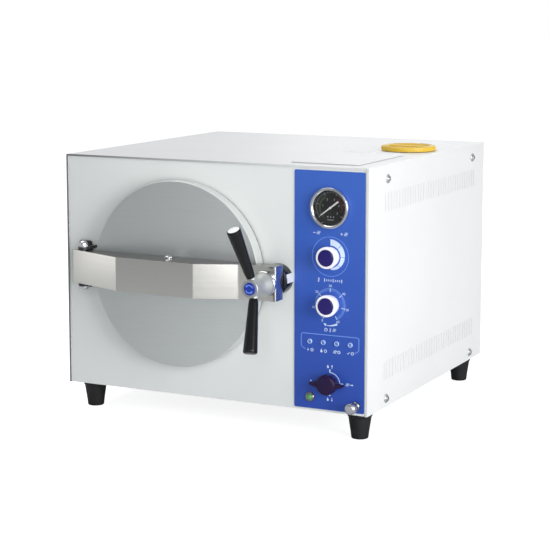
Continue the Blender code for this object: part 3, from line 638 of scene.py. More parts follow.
def carried_over():
    """Procedural materials for the CAD nodes whose shape already is right."""
    looks = {
        "outer_cover": "cover_paint", "front_panel": "front_paint", "rear_panel": "cover_paint",
        "base_tray": "zinc_plate", "control_label": "blue_label", "insulation_jacket": "mineral_wool",
        "heating_element": "satin_chrome", "tray_rack": "tray_steel", "vessel_cradle": "zinc_plate",
        "thermostat_body": "black_plastic", "timer_body": "black_plastic", "selector_valve": "brass",
        "drain_pipe": "tank_plastic", "water_tank": "tank_plastic", "door_pivot_block": "zinc_plate",
        "lock_spindle": "chamber_steel",
    }
    for node, look in looks.items():
        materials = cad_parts[node].data.materials
        materials.clear()
        materials.append(MATERIALS[look])


# ---- chamber and door


def chamber():
    spot = Spot("chamber_vessel")
    flange, front, deep = spot.radius, spot.front, spot.back
    mouth, out, wall, dome_start = 123.5, 125.5, 2, 400
    groove_in, groove_out, floor = 125.6, 130, 1.8
    angles = range(0, 99, 9)
    dish_out = dome(out, dome_start, deep - dome_start, angles)
    dish_in = dome(mouth, dome_start - wall / 2, deep - dome_start - wall / 2, angles)
    shell = [(flange, front), (flange, 8), (out, 8)] + dish_out[:-1] + [(0, deep), (0, deep - wall)]
    shell += dish_in[-2::-1]
    shell += [(mouth, 0.6), (mouth + 1, front), (groove_in, front), (groove_in, floor), (groove_out, floor),
              (groove_out, front)]
    piece("chamber_shell", turned(shell, spot.centre, 160), "chamber_steel", node="chamber_vessel")
    ring_in, ring_out = groove_in + 0.4, groove_out - 0.4
    lip = Spot("door_seal").front
    seal = [(ring_in, lip + 0.6, 0.4), (ring_in + 1.2, lip, 0.5), (ring_out - 1.2, lip, 0.5),
            (ring_out, lip + 0.6, 0.4), (ring_out, floor - 0.3), (ring_in, floor - 0.3)]
    piece("door_seal_ring", turned(seal, spot.centre, 144, 4), "silicone", node="door_seal")


def trays():
    """Perforated instrument trays with a rolled rim."""
    wall, roll, across, along = 1, 1.6, 7, 14
    inset = roll * 1.6
    for number in (1, 2):
        node = f"instrument_tray_{number}"
        spot = Spot(node)
        low, high = spot.low, spot.high
        outer = rounded(low.x, high.x, low.y, high.y, 6, 5)
        inner = rounded(low.x + wall, high.x - wall, low.y + wall, high.y - wall, 5, 5)
        rim = rounded(low.x + inset, high.x - inset, low.y + inset, high.y - inset, 4, 5)
        holes = []
        for i in range(across):
            for k in range(along):
                x = low.x + (high.x - low.x) * (i + 1) / (across + 1)
                y = low.y + (high.y - low.y) * (k + 1) / (along + 1)
                holes.append(circle(x, y, 4, 10))
        sides = prism([outer, inner], "xy", low.z, high.z - roll)
        top = prism([outer, rim], "xy", high.z - roll, high.z)
        floor = prism([outer] + holes, "xy", low.z, low.z + wall)
        piece(f"tray_{number}", [sides, top, floor], "tray_steel", node=node)


def door():
    """The pressed skin, the pressure plate with its raised ring, and the head of the pivot pin."""
    radius, face, back = DOOR.radius, DOOR.front, DOOR.back
    wall, edge = 1.5, 1.6
    pan = [(0, face), (radius, face, edge), (radius, back, 0.5), (radius - wall, back, 0.3),
           (radius - wall, face + wall, edge), (0, face + wall)]
    skin = piece("door_skin", turned(pan, DOOR.centre, 220, 8), "door_steel", "door", "door_cover")
    also(skin, "rim_steel", lambda centre, normal: normal.y > -0.95)
    spot = Spot("door_plate")
    rim, boss, thick, sunk = spot.radius, 30, 11, 2.5
    plate = [(0, back - sunk), (60, back - sunk, 10), (78, back - 0.6, 8), (100, back - 0.6, 6),
             (112, back - sunk * 0.7, 4), (119, back - sunk * 0.7, 3), (122.5, back, 2), (rim, back, 0.8),
             (rim, back - thick, 0.8), (boss, back - thick), (boss, spot.front), (0, spot.front)]
    piece("door_inner_plate", turned(plate, DOOR.centre, 160, 6), "chamber_steel", "door", "door_plate")
    pin = Spot("door_pivot_pin")
    top, bottom, head = pin.high.z, pin.low.z, pin.radius
    profile = [(0, bottom), (4, bottom, 0.4), (4, top - 4.1), (head, top - 4.1, 0.4), (head, top - 3, 0.8),
               (head * 0.72, top - 0.8, 2.5), (0, top)]
    piece("door_pivot_pin_head", turned(profile, pin.plan, 48, 6, "z"), "chrome", "door", "door_pivot_pin")


BAR_ROUTE = ((-219, -27), (-118, -65), (8, -70), (67, -45.5), (84, -42), (122, -42))
BAR_BENDS = (1.5, 6, 6, 20, 20, 2.2)
BAR_SHEET = 2.5


def clamp_bar():
    """A channel bent from thick sheet, open towards the door, with the hinge ear at its left end."""
    low, high = BAR.low.z, BAR.high.z
    back, end_back, ear = -26.5, -20, 11
    first, second, last = BAR_ROUTE[0], BAR_ROUTE[1], BAR_ROUTE[-1]
    outline = [(*point, bend) for point, bend in zip(BAR_ROUTE, BAR_BENDS)]
    outline += [(last[0], end_back, 0.8), (90, end_back, 1), (87.5, back, 1), (-181, back)]
    shape = softened(outline, 0, 7) + arc(HINGE.x, HINGE.y, ear, 20, 168, 20)
    made = piece("clamp_bar_channel", prism([shape], "xy", low, high), "bar_steel", "door", "clamp_bar",
                 1.1, sharp=28)
    slope = (second[1] - first[1]) / (second[0] - first[0])
    overrun, thick, beyond = 4, BAR_SHEET * 1.07, 10
    start, end = first[0] - overrun, last[0] - BAR_SHEET
    inner = [(start, first[1] + thick - slope * overrun)] + [(x, y + thick) for x, y in BAR_ROUTE[1:-1]]
    inner += [(end, last[1] + BAR_SHEET), (end, beyond), (start, beyond)]
    cut(made, prism([inner], "xy", low + BAR_SHEET, high - BAR_SHEET))
    cut(made, rod(HINGE.plan, "z", 4.9, 140, 220))
    cut(made, rod(Spot("door_pivot_pin").plan, "z", 4.4, 140, 220))
    cut(made, rod(LOCK, "y", 9.4, -60, -30))
    # Painted reflection: the bar's right-facing end is steel tinted blue, standing in for the blue label it
    # mirrors.
    also(made, "bar_end_painted_reflection", lambda centre, normal: centre.x > 115 and normal.x > 0.5)
    # Painted shade: the faces that look up are a dark steel, standing in for the shade and dark reflection on
    # the channel's top.
    also(made, "bar_top_painted_shade", lambda centre, normal: normal.z > 0.9)


def bar_hinge():
    """The black bracket with its two ears and screws, and the hinge pin under a domed nut."""
    spot = Spot("hinge_bracket")
    right, back, thick, ear, ear_thick = -197.5, -0.3, 2.8, 7.8, 4
    plate = rounded(spot.low.x, right, spot.low.z, spot.high.z, 3)
    shapes = [prism([plate], "xz", back - thick, back)]
    outline = [(HINGE.x + ear, -0.9)] + arc(HINGE.x, HINGE.y, ear, 0, -180, 28) + [(HINGE.x - ear, -0.9)]
    for low in (BAR.high.z + 0.4, BAR.low.z - 0.4 - ear_thick):
        shapes.append(prism([outline], "xy", low, low + ear_thick))
    for z in (spot.low.z + 6, spot.high.z - 6):
        head = [(0, -6), (2.6, -6, 0.6), (3, -3.1), (0, -3.1)]
        shapes.append(turned(head, ((spot.low.x + right) / 2, 0, z), 32, 4))
    piece("hinge_bracket_plate", shapes, "black_steel", node="hinge_bracket", bevel=0.6)
    top, bottom, crown = BAR.high.z + 4.7, BAR.low.z - 4.7, HINGE.high.z
    nut, neck = 7.7, 6.2
    pin = [(0, bottom - 5), (neck, bottom - 5), (7.4, bottom - 3), (7.4, bottom), (4.5, bottom), (4.5, top),
           (nut, top), (nut, top + 0.8), (neck, top + 0.8), (neck, top + 3.3), (neck, top + 4)]
    pin += dome(neck, top + 4, crown - top - 4, range(10, 90, 10)) + [(0, crown)]
    shapes = [turned(pin, HINGE.plan, 72, axis="z"),
              prism([circle(HINGE.x, HINGE.y, nut, 6)], "xy", top + 0.8, top + 3.5)]
    piece("hinge_pin_nut", shapes, "chrome", node="hinge_pin", bevel=0.3, sharp=40)


# ---- lock

HANDLE_Y, HANDLE_LENGTH, GRIP_START = -72, 91, 16.8
HANDLE_TILT, HANDLE_LEAN = math.radians(8.5), math.radians(24)


def arm_direction(side):
    """The way an arm of the handle points: up for 1 and down for -1, both leaning forward."""
    flat = math.cos(HANDLE_LEAN)
    return Vector((-side * math.sin(HANDLE_TILT) * flat, -math.sin(HANDLE_LEAN),
                   side * math.cos(HANDLE_TILT) * flat))


def lock_handle():
    """The cast hub with its two arms, the black grips with their end plugs, and the blue cap."""
    hub = [(0, -64), (0, -85.3), (8.7, -85.3), (8.7, -87, 0.3), (11.7, -87, 0.6), (12.5, -85.8, 0.8),
           (12.5, -79, 1), (10.4, -71.5, 6), (11.8, -62, 8), (16.8, -50.5, 6), (16.8, -47.5, 0.6),
           (5.3, -47.5), (5.3, -64)]
    shapes = [turned(hub, LOCK, 96, 6)]
    middle = LOCK + Vector((0, HANDLE_Y, 0))
    start, end = GRIP_START, HANDLE_LENGTH
    collar = [(3.8, 10), (6.6, 11), (6.2, start - 0.4), (3.8, start - 0.4)]
    grip = [(4.5, start), (6, start, 0.6), (6.8, start + 6, 4), (9.8, end - 3.4, 4), (9.8, end - 1.4, 0.6),
            (8.8, end - 0.3), (8.4, end - 1), (0, end - 1), (0, 40.5), (4.5, 40.5)]
    plug = [(0, end - 0.9), (8.3, end - 0.9), (8.3, end - 0.2, 0.3), (0, end)]
    # Painted reflection: the upper plug is a near-white plastic, standing in for the bright reflection of the
    # light from above; the lower one stays black.
    for name, side, plug_look in (("upper", 1, "upper_plug_painted_reflection"), ("lower", -1, "black_plastic")):
        way = arm_direction(side)
        shapes.append(rod(middle, way, 4, 4, 40, 0.2))
        shapes.append(turned(collar, middle, 48, axis=way))
        piece(f"{name}_grip_moulding", turned(grip, middle, 72, 6, way), "black_plastic", "handle",
              f"{name}_grip")
        piece(f"{name}_upper_plug_painted_reflection", turned(plug, middle, 72, 4, way), plug_look, "handle")
    casting = piece("lock_hub_casting", shapes, "hub_zinc", "handle", "lock_hub", sharp=35)
    also(casting, "zinc_plate", lambda centre, normal: normal.y < -0.8 and centre.y < -84)
    cap = [(0, -85.6), (8.4, -85.6), (8.4, -87.1, 0.5), (7.2, -87.8, 1), (0, -88)]
    piece("hub_cap_disc", turned(cap, LOCK, 72, 5), "hub_blue", "handle", "hub_cap")
    marks = Ink(-88.05, -87.5)
    for start in (20, 200):
        end = start + 105
        marks.fill(band(LOCK.x, LOCK.z, 4.5, 6, start, end, 16))
        ahead = Vector(polar(0, 0, 3, end + 90))
        tip = Vector(polar(LOCK.x, LOCK.z, 5.2, end)) + ahead
        marks.fill([polar(LOCK.x, LOCK.z, 7.1, end), polar(LOCK.x, LOCK.z, 3.3, end), tuple(tip)])
    marks.piece("hub_cap_marks", "print_pale", "handle", "blue_cap")


def lock_fixed():
    """The collar that the spindle turns in, and the round socket on the panel, cut to clear the door."""
    bush = [(5.5, -47.2), (17.2, -47.2, 0.6), (18, -46.2, 0.6), (18, -42.3, 0.6), (9, -42.3), (9, -20),
            (5.5, -20)]
    piece("spindle_bush_flange", turned(bush, LOCK, 96, 4), "chrome", "door", "spindle_bush")
    spot = Spot("lock_socket")
    radius = spot.high.z - spot.z
    centre = Vector((spot.high.x - radius, 0, spot.z))
    room, front, plate = 17, spot.front, -12
    socket = [(0, front), (radius, front, 2.6), (radius, -0.3, 0.3), (room, -0.3), (room, plate), (0, plate)]
    made = piece("lock_socket_ring", turned(socket, centre, 128, 6), "black_chrome", node="lock_socket",
                 bevel=0.3)
    wide, tall = 5.7, 14.6
    slot = rounded(LOCK.x - wide, LOCK.x + wide, LOCK.z - tall, LOCK.z + tall, 2)
    cut(made, prism([slot], "xz", -30, -8))
    cut(made, rod(DOOR.centre, "y", DOOR.radius + 2.4, -30, 10, 0, 200))
    # Painted highlight: a lighter, less metallic finish on the right-facing band of the socket, where the
    # light falls.
    also(made, "socket_painted_highlight",
         lambda place, normal: normal.x > 0.9 and normal.z > -0.15 and place.x > centre.x)


# ---- label


class Ink:
    """Flat print gathered into one thin raised piece, in the plane of the front panel."""

    def __init__(self, front, back):
        self.front, self.back = front, back
        self.shapes = []

    def fill(self, outline, *holes):
        self.shapes.append(prism([outline, *holes], "xz", self.front, self.back))

    def bar(self, x0, z0, x1, z1, width):
        start, end = Vector((x0, z0)), Vector((x1, z1))
        side = (end - start).normalized().orthogonal() * width / 2
        self.fill([tuple(start - side), tuple(end - side), tuple(end + side), tuple(start + side)])

    def disc(self, x, z, radius):
        self.fill(circle(x, z, radius, 24))

    def ring(self, x, z, radius, width, start=0, end=360):
        inner, outer = radius - width / 2, radius + width / 2
        if end - start >= 360:
            self.fill(circle(x, z, outer, 72), circle(x, z, inner, 72))
            return
        self.fill(band(x, z, inner, outer, start, end, max(6, int(abs(end - start) / 5))))

    def tick(self, x, z, inner, outer, angle, width):
        """A short stroke along a radius of a scale."""
        self.bar(*polar(x, z, outer, angle), *polar(x, z, inner, angle), width)

    def number(self, text, x, z, height):
        """Plain numerals, centred on a point."""
        font = bpy.data.curves.new("numeral", "FONT")
        font.body = text
        font.size = height * 1.35
        font.align_x, font.align_y = "CENTER", "CENTER"
        font.extrude = (self.back - self.front) / 2
        font.resolution_u = 3
        holder = placed("numeral", font)
        bpy.context.view_layer.update()
        mesh = bpy.data.meshes.new_from_object(holder.evaluated_get(bpy.context.evaluated_depsgraph_get()))
        bpy.data.objects.remove(holder)
        middle = (self.front + self.back) / 2
        mesh.transform(Matrix.Translation((x, middle, z)) @ Matrix.Rotation(math.radians(90), 4, "X"))
        shape = bmesh.new()
        shape.from_mesh(mesh)
        bpy.data.meshes.remove(mesh)
        bmesh.ops.remove_doubles(shape, verts=shape.verts, dist=1e-4)
        self.shapes.append(shape)

    def icon(self, name, x, z, size=5.2):
        """One of the plain signs, centred on a point."""
        for stroke, points, *sizes in ICONS[name]:
            spots = [(x + size * a, z + size * b) for a, b in points]
            if stroke == "fill":
                self.fill(spots)
            elif stroke == "disc":
                self.disc(*spots[0], size * sizes[0])
            elif stroke == "bar":
                self.bar(*spots[0], *spots[1], size * sizes[0])
            else:
                self.ring(*spots[0], size * sizes[0], size * sizes[1], *sizes[2:])

    def arrow(self, x, z, size, way):
        """An arrow that points along an angle in degrees."""
        ahead = Vector(polar(0, 0, size, way))
        side, middle = ahead.orthogonal() * 0.28, Vector((x, z))
        tail, neck, tip = middle - ahead * 0.5, middle + ahead * 0.1, middle + ahead * 0.5
        self.bar(*tail, *neck, size * 0.16)
        self.fill([tuple(neck - side), tuple(tip), tuple(neck + side)])

    def piece(self, name, look, body="cabinet", slot="blue_label"):
        return piece(name, self.shapes, look, body)


# Strokes of each sign in shares of its size: a kind, its points, its radius or width, and any angles.
MINUS = ("bar", [(-0.35, 0), (0.35, 0)], 0.15)
ICONS = {
    "minus": [MINUS],
    "plus": [MINUS, ("bar", [(0, -0.35), (0, 0.35)], 0.15)],
    "clock": [("ring", [(0, 0)], 0.42, 0.12), ("bar", [(0, -0.04), (0, 0.3)], 0.11),
              ("bar", [(0, 0), (0.24, 0)], 0.11)],
    "drop": [("fill", arc(0, -0.14, 0.3, 155, 385, 16) + [(0, 0.5)])],
    "heat": [("ring", [(at + lean, height)], 0.2, 0.11, start, start + 160)
             for at in (-0.3, 0, 0.3) for lean, height, start in ((0, 0.22, -80), (0.07, -0.18, 100))],
    "thermometer": [("disc", [(0, -0.32)], 0.18), ("bar", [(0, -0.3), (0, 0.48)], 0.15)]
                   + [("bar", [(0.16, step), (0.32, step)], 0.08) for step in (0.05, 0.22, 0.39)],
    "flash": [("fill", [(0.1, 0.5), (-0.26, -0.08), (-0.02, -0.08), (-0.1, -0.5), (0.26, 0.1), (0.02, 0.1)])],
    "tick": [("bar", [(-0.32, 0.02), (-0.06, -0.3)], 0.14), ("bar", [(-0.1, -0.3), (0.34, 0.34)], 0.14)],
}


def temperature_scale(pale, white, x, z):
    """A thin ring, four wedges that widen upwards, and signs for cooler, hotter and the scale."""
    pale.ring(x, z, 27.1, 0.9)
    steps = 10
    for start, end in ((90, 47), (45, 1.5), (-0.5, -43), (-45, -88)):
        outline = []
        for i in range(steps + 1):
            angle = start + (end - start) * i / steps
            outline.append(polar(x, z, 17.6 + 6.4 * ((angle + 90) / 180) ** 0.75, angle))
        white.fill(outline + arc(x, z, 15.4, end, start, steps))
    size, caption, scale = 5.4, z + 31.8, z - 32.8
    for name, at in (("minus", -24), ("heat", -18), ("plus", 16.5), ("heat", 22.8)):
        white.icon(name, x + at, caption, size)
    white.icon("thermometer", x - 17.5, scale, size * 1.1)
    for i in range(9):
        half = size * (0.45 if i % 4 == 0 else 0.25)
        at = x - 8.5 + 3.2 * i
        white.bar(at, scale - half, at, scale + half, 1.1)


def timer_scale(pale, white, x, z):
    """A track with sixty ticks, numerals from 0 to 60, and a swept arrow for winding."""
    zero, whole, track = 243, 306, 22.4
    pale.ring(x, z, track - 0.4, 1.7, zero - whole, zero)
    for i in range(61):
        ink, long, wide = (pale, 3.4, 0.7) if i % 10 else (white, 5, 0.9)
        ink.tick(x, z, track - long, track, zero - whole * i / 60, wide)
    for i in range(7):
        white.number(str(10 * i), *polar(x, z, 25.8, zero - whole * i / 6), 3.6)
    start, sweep, steps = 258, 34, 12
    taper = [polar(x, z, 29.4 - 2.6 * k / steps, start + sweep * k / steps) for k in range(steps + 1)]
    white.fill(arc(x, z, 29.8, start, start + sweep, steps) + taper[::-1])
    white.fill([(x - 9.8, z - 26.2), (x - 5.6, z - 26.8), (x - 7.2, z - 30.6)])
    for i, name in enumerate(("clock", "thermometer", "heat")):
        white.icon(name, x - 6.2 + 6.2 * i, z - 35.2)


def lamp_signs(pale, white, x, z):
    """A bracket round the four lamps, and a sign and a small ring under each."""
    left, right, top, leg, row = x - 43.5, x + 43, z + 10.8, z - 11.4, z - 11.8
    bracket = softened([(left + 6, leg, 0), (left, leg + 4), (left, top), (right, top), (right, leg + 4),
                        (right - 6, leg, 0)], 3, 5)
    for start, end in zip(bracket, bracket[1:]):
        if Vector(start) != Vector(end):
            pale.bar(*start, *end, 1.3)
    for i, name in enumerate(("flash", "drop", "heat", "tick")):
        at = x + LAMP_PITCH * (i - 1.5)
        white.icon(name, at - 2.8, row, 5.4)
        white.ring(at + 3.2, row, 1.8, 0.9)


def selector_signs(white, x, z):
    """An arc, strokes and dots round the selector, with signs for filling, draining and heating."""
    white.ring(x, z, 15, 1.1, 3, 90)
    white.bar(x, z + 15, x, z + 19.2, 1.8)
    white.bar(x + 14.6, z + 0.8, x + 20, z + 0.8, 1.1)
    white.disc(x, z - 17.2, 1)
    white.disc(x - 28.7, z + 1, 1)
    for way, row in ((90, 23.2), (-90, -22.8)):
        white.icon("drop", x - 3, z + row)
        white.arrow(x + 3.2, z + row, 5.2, way)
    white.icon("heat", x + 26.2, z + 0.4)
    white.arrow(x + 32.6, z + 0.4, 5.2, 0)


def label_print():
    """Dial scales and plain signs on the blue label, in a pale and a white ink."""
    face = LABEL.front
    pale, white = Ink(face - 0.08, face + 0.2), Ink(face - 0.12, face + 0.2)
    temperature_scale(pale, white, KNOB_X, Spot("temperature_knob").z)
    timer_scale(pale, white, KNOB_X, Spot("timer_knob").z)
    lamp_signs(pale, white, KNOB_X, Spot("indicator_board").z)
    selector_signs(white, KNOB_X, Spot("selector_knob").z)
    pale.piece("label_print_pale", "print_pale")
    white.piece("label_print_white", "print_white")


# ---- controls


def gauge():
    """The chrome case, the printed dial, the window and the needle."""
    centre, radius, front, back = GAUGE.centre, GAUGE.radius, GAUGE.front, GAUGE.back
    inside, can = 24, 25.4
    case = [(radius, front + 2, 1.2), (radius, -1.5, 0.4), (can, -1.5), (can, back, 1), (0, back),
            (0, back - 1.5), (inside, back - 1.5), (inside, front + 1.4, 0.3), (inside + 1.2, front, 0.9),
            (radius - 0.8, front, 1.2)]
    piece("gauge_bezel", turned(case, centre, 144, 5), "chrome", node="gauge_case")
    disc = Spot("gauge_dial")
    face = [(0, disc.front), (disc.radius, disc.front), (disc.radius, disc.back), (0, disc.back)]
    piece("gauge_face", turned(face, centre), "dial_black", node="gauge_dial")
    x, z, print_at = centre.x, centre.z, disc.front
    for name, look, start, end in (("low", "print_green", 120, 232), ("high", "print_red", -22, 52)):
        ink = Ink(print_at - 0.1, print_at + 0.2)
        ink.ring(x, z, 16.4, 2.6, start, end)
        ink.piece(f"gauge_band_{name}", look, slot="dial_black")
    ink = Ink(print_at - 0.16, print_at + 0.2)
    zero, whole, outer = 217, 254, 22
    for i in range(41):
        long, wide = (1.8, 0.3) if i % 8 else (3.6, 0.6)
        ink.tick(x, z, outer - long, outer, zero - whole * i / 40, wide)
    for i in range(6):
        ink.number(str(i), *polar(x, z, 12.2, zero - whole * i / 5), 3.2)
    for spread in (-4.2, 0, 4.2):
        ink.disc(x + spread, z - 12.5, 0.9)
    ink.bar(x - 4.8, z - 16.5, x + 4.8, z - 16.5, 0.8)
    ink.piece("gauge_scale", "print_grey", slot="dial_black")
    window = Spot("gauge_glass")
    rim, glass = window.radius, window.front
    pane = [(0, glass), (rim * 0.8, glass + 0.1), (rim, glass + 0.5), (rim, window.back), (0, window.back)]
    piece("gauge_window", turned(pane, centre), "gauge_window", node="gauge_glass")
    rest = math.radians(zero)
    half = [(-15, 1.3), (-5, 0.9), (0, 1), (17.8, 0.5)]
    outline = [(x + a * math.cos(rest) - b * math.sin(rest), z + a * math.sin(rest) + b * math.cos(rest))
               for a, b in half + [(a, -b) for a, b in reversed(half)]]
    piece("gauge_pointer", [prism([outline], "xz", -3, -2.2), rod(centre, "y", 1.5, -3.6, -1.2, 0.4, 32)],
          "needle_white", "pressure_needle", "gauge_needle", 0.1)


def dial_knobs():
    """Two ribbed white knobs, each with a blue cap sunk into its face."""
    for name in ("temperature", "timer"):
        node, body = f"{name}_knob", f"{name}_control"
        spot = Spot(node)
        face, skirt = -16.8, spot.radius - 0.1
        ring = [(0, -10.5), (0, -15.8), (11.6, -15.8), (11.6, face, 0.3), (skirt, face, 1.4), (skirt, -10, 4),
                (13.4, -1.4, 0.4), (3.3, -1.4), (3.3, -10.5)]
        shapes = [turned(ring, spot.centre, 120, 5)]
        shapes += ribs(48, spot.centre, "y", skirt - 0.2, 0.3, -15, -10.8, 0.2)
        piece(f"{body}_ring", shapes, "knob_white", body, node)
        cap = [(0, -15.6), (11.4, -15.6), (11.4, -17.4, 0.6), (10, spot.front + 0.2, 1.2), (0, spot.front)]
        piece(f"{body}_cap", turned(cap, spot.centre, 96, 5), "blue_cap", body)


def selector():
    """A round dial under a wing that tapers to both ends."""
    spot = Spot("selector_knob")
    x, z = spot.x, spot.z
    disc = [(0, -7.3), (0, spot.front), (11.6, spot.front + 0.3, 4), (13.9, -16.4, 1.2), (14.2, -10, 4),
            (12, -1.4, 0.4), (3.3, -1.4), (3.3, -7.3)]
    steps = 24
    half = []
    for i in range(steps + 1):
        share = -1 + 2 * i / steps
        half.append((spot.radius * share, 1.3 + 5.4 * math.cos(share * math.pi / 2) ** 1.2))
    outline = [(x + a, z + b) for a, b in half] + [(x + a, z - b) for a, b in reversed(half)]
    piece("selector_dial", turned(disc, spot.centre, 96, 5), "selector_plastic", "selector", "selector_knob")
    piece("selector_wing", prism([outline], "xz", -16, -9), "selector_plastic", "selector", bevel=1.4)


def lamps():
    """The circuit board with its four lamps, their rings and lenses, and the green pilot lamp."""
    spot = Spot("indicator_board")
    centres = [(KNOB_X + LAMP_PITCH * (i - 1.5), 0, spot.z) for i in range(4)]
    radius = 2.4
    shapes = [block((spot.low.x, 8, spot.low.z), (spot.high.x, 9.6, spot.high.z))]
    shapes += [rod(centre, "y", radius, -0.4, 8.5, 0.2, 24) for centre in centres]
    piece("indicator_circuit", shapes, "board_green", node="indicator_board", bevel=0.2)
    ring = [(radius, -0.8), (radius, -2.6, 0.3), (3.1, -2.8, 0.4), (3.5, -1.3, 0.2), (3.4, -1.2), (3.4, 1.2),
            (radius, 1.2)]
    lens = [(0, 1), (radius, 1), (radius, -1.4)] + dome(radius, -1.4, -1.1, range(15, 90, 15)) + [(0, -2.5)]
    for i, centre in enumerate(centres, 1):
        piece(f"lamp_ring_{i}", turned(ring, centre, 48, 4), "lamp_rim")
        piece(f"lamp_lens_{i}", turned(lens, centre, 32), "lamp_lens")
    pilot = Spot("pilot_lamp")
    rim, bore, glass, start = pilot.radius, 4.6, 4.5, -3
    ring = [(bore, -1), (bore, -3.4, 0.3), (5.8, -3.2, 0.8), (rim, -2, 0.5), (rim, -1.3), (5.6, -1.2),
            (5.6, 19), (bore, 19)]
    piece("pilot_lamp_ring", turned(ring, pilot.centre, 72, 4), "nickel")
    lens = [(0, 18), (glass, 18), (glass, start)]
    lens += dome(glass, start, pilot.front - start, range(10, 90, 10)) + [(0, pilot.front)]
    piece("pilot_lamp_lens", turned(lens, pilot.centre, 64), "green_lens", node="pilot_lamp")


def drain():
    spot = Spot("drain_valve")
    radius, front, back = spot.radius, spot.front, spot.back
    bush = [(2.7, front + 0.6), (3.6, front, 0.4), (5.5, front, 0.8), (radius, -4.6, 0.6),
            (radius, -1.4, 0.3), (5.6, -1.4), (5.6, back), (0, back), (0, 1), (2.7, 1)]
    piece("drain_valve_bush", turned(bush, spot.centre, 72, 4), "nickel", node="drain_valve")
    knob = Spot("drain_knob")
    rim, front = knob.radius - 0.3, knob.front
    profile = [(0, front), (5, front, 2), (rim, front + 1.8, 1), (rim, -13.8, 0.8), (5.8, -11.8, 1.2),
               (2.4, -10.8, 0.6), (2.4, 0), (0, 0)]
    shapes = [turned(profile, spot.centre, 96, 5)]
    shapes += ribs(40, spot.centre, "y", rim, 0.3, front + 2.6, -14.6, 0.2)
    piece("drain_knob_knurled", shapes, "satin_chrome", "drain_control", "drain_knob")


# ---- back

BACK_FACE = 459.9


def safety_valve():
    """The brass valve with its hexagon, and the pull that rides in it."""
    valve = Spot("safety_valve")
    centre, out = valve.centre, BACK_FACE
    body = [(0, valve.front), (4, valve.front), (4, 450), (6, 450), (6, out), (7, out), (7, out + 4),
            (8.5, out + 4.5, 0.3), (8.5, out + 14.5, 0.8), (6.2, out + 16.2, 0.6), (4.5, valve.back, 0.4),
            (2.7, valve.back), (2.7, out + 6.5), (0, out + 6.5)]
    hexagon = circle(centre.x, centre.z, 10.4, 6)
    shapes = [turned(body, centre, 72, 4), prism([hexagon], "xz", out + 0.1, out + 4)]
    piece("safety_valve_body", shapes, "brass", node="safety_valve", bevel=0.3, sharp=40)
    pull = Spot("safety_valve_pull")
    front, back = pull.front, pull.back
    stem = [(0, front), (2.2, front, 0.3), (2.2, back - 4.2), (6.4, back - 4.2, 0.6), (7.1, back - 3.2, 0.8),
            (6.4, back - 1, 1), (3, back, 1), (0, back)]
    piece("safety_valve_button", turned(stem, centre, 64, 5), "chrome", "safety_pull", "safety_valve_pull")


def mains_inlet():
    """The appliance inlet: a flange and a well round three pins, with a fuse drawer above."""
    inlet = Spot("mains_inlet")
    low, high = inlet.low, inlet.high
    plate, well, corner = BACK_FACE + 2.5, 444.5, 4
    flange = rounded(low.x, high.x, low.z, high.z, 3)
    x0, x1, z0, z1 = low.x + 11, high.x - 11, low.z + 6, low.z + 22
    socket = softened([(x0, z0), (x1, z0), (x1, z1 - corner), (x1 - corner, z1), (x0 + corner, z1),
                       (x0, z1 - corner)], 1.2)
    outer = rounded(low.x + 8.5, high.x - 8.5, low.z + 2.5, high.z - 2.5, 1)
    drawer = rounded(low.x + 12, high.x - 12, high.z - 20, high.z - 6, 1.5)
    shapes = [prism([flange, socket], "xz", BACK_FACE, plate),
              prism([outer, socket], "xz", well, BACK_FACE + 0.5),
              prism([outer], "xz", low.y, well + 0.5),
              prism([drawer], "xz", plate - 0.5, high.y)]
    piece("mains_inlet_body", shapes, "black_plastic", node="mains_inlet", bevel=0.4)
    middle_x, middle_z = (x0 + x1) / 2, (z0 + z1) / 2
    pins = []
    for across, up in ((-6.5, -1), (0, 3), (6.5, -1)):
        x, z = middle_x + across, middle_z + up
        pins.append(block((x - 1, well + 0.1, z - 2), (x + 1, BACK_FACE - 1, z + 2)))
    piece("mains_inlet_pins", pins, "chrome", bevel=0.4)


def rear_screws():
    panel = Spot("rear_panel")
    inset, face = 9, panel.back
    head = [(0, face - 0.2), (3.6, face - 0.2), (3.6, face + 1.6, 0.9), (0, face + 1.9)]
    screws = []
    for x in (panel.low.x + inset, 0, panel.high.x - inset):
        for z in (panel.low.z + inset, panel.high.z - inset):
            screws.append(turned(head, (x, 0, z), 32, 5))
    piece("rear_panel_screws", screws, "satin_chrome")


# ---- stage

FLOOR_HALF = 12000


def floor_material():
    look = Look("studio_floor", (0.55, 0.555, 0.56), 0.9)
    look.set("Emission Color", (1, 1, 1, 1))
    ray = look.node("ShaderNodeLightPath")
    glow = look.node("ShaderNodeMath")
    glow.operation = "MULTIPLY"
    glow.inputs[1].default_value = 0.85
    look.link(ray.outputs["Is Camera Ray"], glow.inputs[0])
    look.link(glow.outputs[0], look.shader.inputs["Emission Strength"])
    look.vary_colour(look.noise(3), (0.53, 0.535, 0.54))


def stage():
    floor_material()
    shape = bmesh.new()
    bmesh.ops.create_grid(shape, x_segments=4, y_segments=4, size=FLOOR_HALF)
    mesh = mesh_of("floor", shape)
    mesh.materials.append(MATERIALS["studio_floor"])
    placed("floor", mesh)


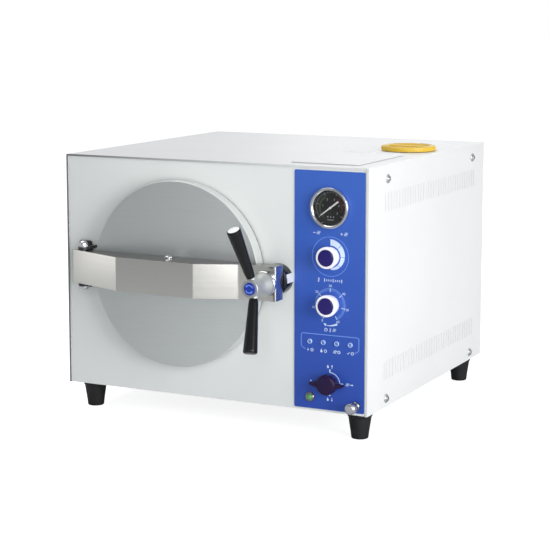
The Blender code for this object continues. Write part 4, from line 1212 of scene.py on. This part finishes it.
def softbox(name, place, size, power, tall=None):
    """A rectangular light of a width and perhaps another height, turned to the middle of the machine."""
    data = bpy.data.lights.new(name, "AREA")
    data.shape = "RECTANGLE"
    data.size, data.size_y = size, tall or size
    data.energy = power
    made = placed(name, data, place)
    made.rotation_euler = (Vector((0, 0, 0.2)) - Vector(place)).to_track_quat("-Z", "Y").to_euler()


def lights():
    softbox("right_box", (2.45, -1.15, 0.62), 1.6, 67)
    softbox("front_box", (0.72, -1.75, 0.45), 0.55, 8.5, 1.3)
    softbox("left_box", (-1.35, -0.74, 0.33), 0.5, 0.9, 0.66)
    softbox("top_box", (-1.0, 0.1, 2.5), 2.2, 35)
    softbox("back_box", (-0.5, 2.8, 1.6), 1.8, 14)


def surroundings():
    """An even fill light, which the camera sees as a plain white background."""
    world = bpy.data.worlds.new("studio")
    bpy.context.scene.world = world
    world.use_nodes = True
    tree = world.node_tree
    tree.nodes.clear()
    output, mix, ray, fill, seen = (tree.nodes.new(f"ShaderNode{kind}") for kind in (
        "OutputWorld", "MixShader", "LightPath", "Background", "Background"))
    fill.inputs["Color"].default_value = (0.96, 0.98, 1.0, 1)
    fill.inputs["Strength"].default_value = 0.36
    seen.inputs["Color"].default_value = (1, 1, 1, 1)
    tree.links.new(ray.outputs["Is Camera Ray"], mix.inputs[0])
    tree.links.new(fill.outputs[0], mix.inputs[1])
    tree.links.new(seen.outputs[0], mix.inputs[2])
    tree.links.new(mix.outputs[0], output.inputs["Surface"])


def camera():
    """Right of the machine and a little above it, looking slightly down."""
    data = bpy.data.cameras.new("camera")
    data.sensor_width = 36
    data.lens = 108.24
    data.shift_y = -0.1
    data.clip_end = 60
    made = placed("camera", data)
    turn = Matrix.Rotation(math.radians(26.4515), 4, "Z")
    tilt = Matrix.Rotation(math.radians(90 - 7.6426), 4, "X")
    made.matrix_world = Matrix.Translation((1.105, -2.2024, 0.6042)) @ turn @ tilt
    bpy.context.scene.camera = made


for make in (carried_over, louvre_hoods, cover_screws, panel_return, cover_edge, feet, tank_lid, filler_cap,
             chamber, trays, door, clamp_bar, bar_hinge, lock_handle, lock_fixed, label_print, gauge,
             dial_knobs, selector, lamps, drain, safety_valve, mains_inlet, rear_screws, stage, lights,
             surroundings, camera):
    make()
bpy.context.scene.view_settings.view_transform = "Standard"
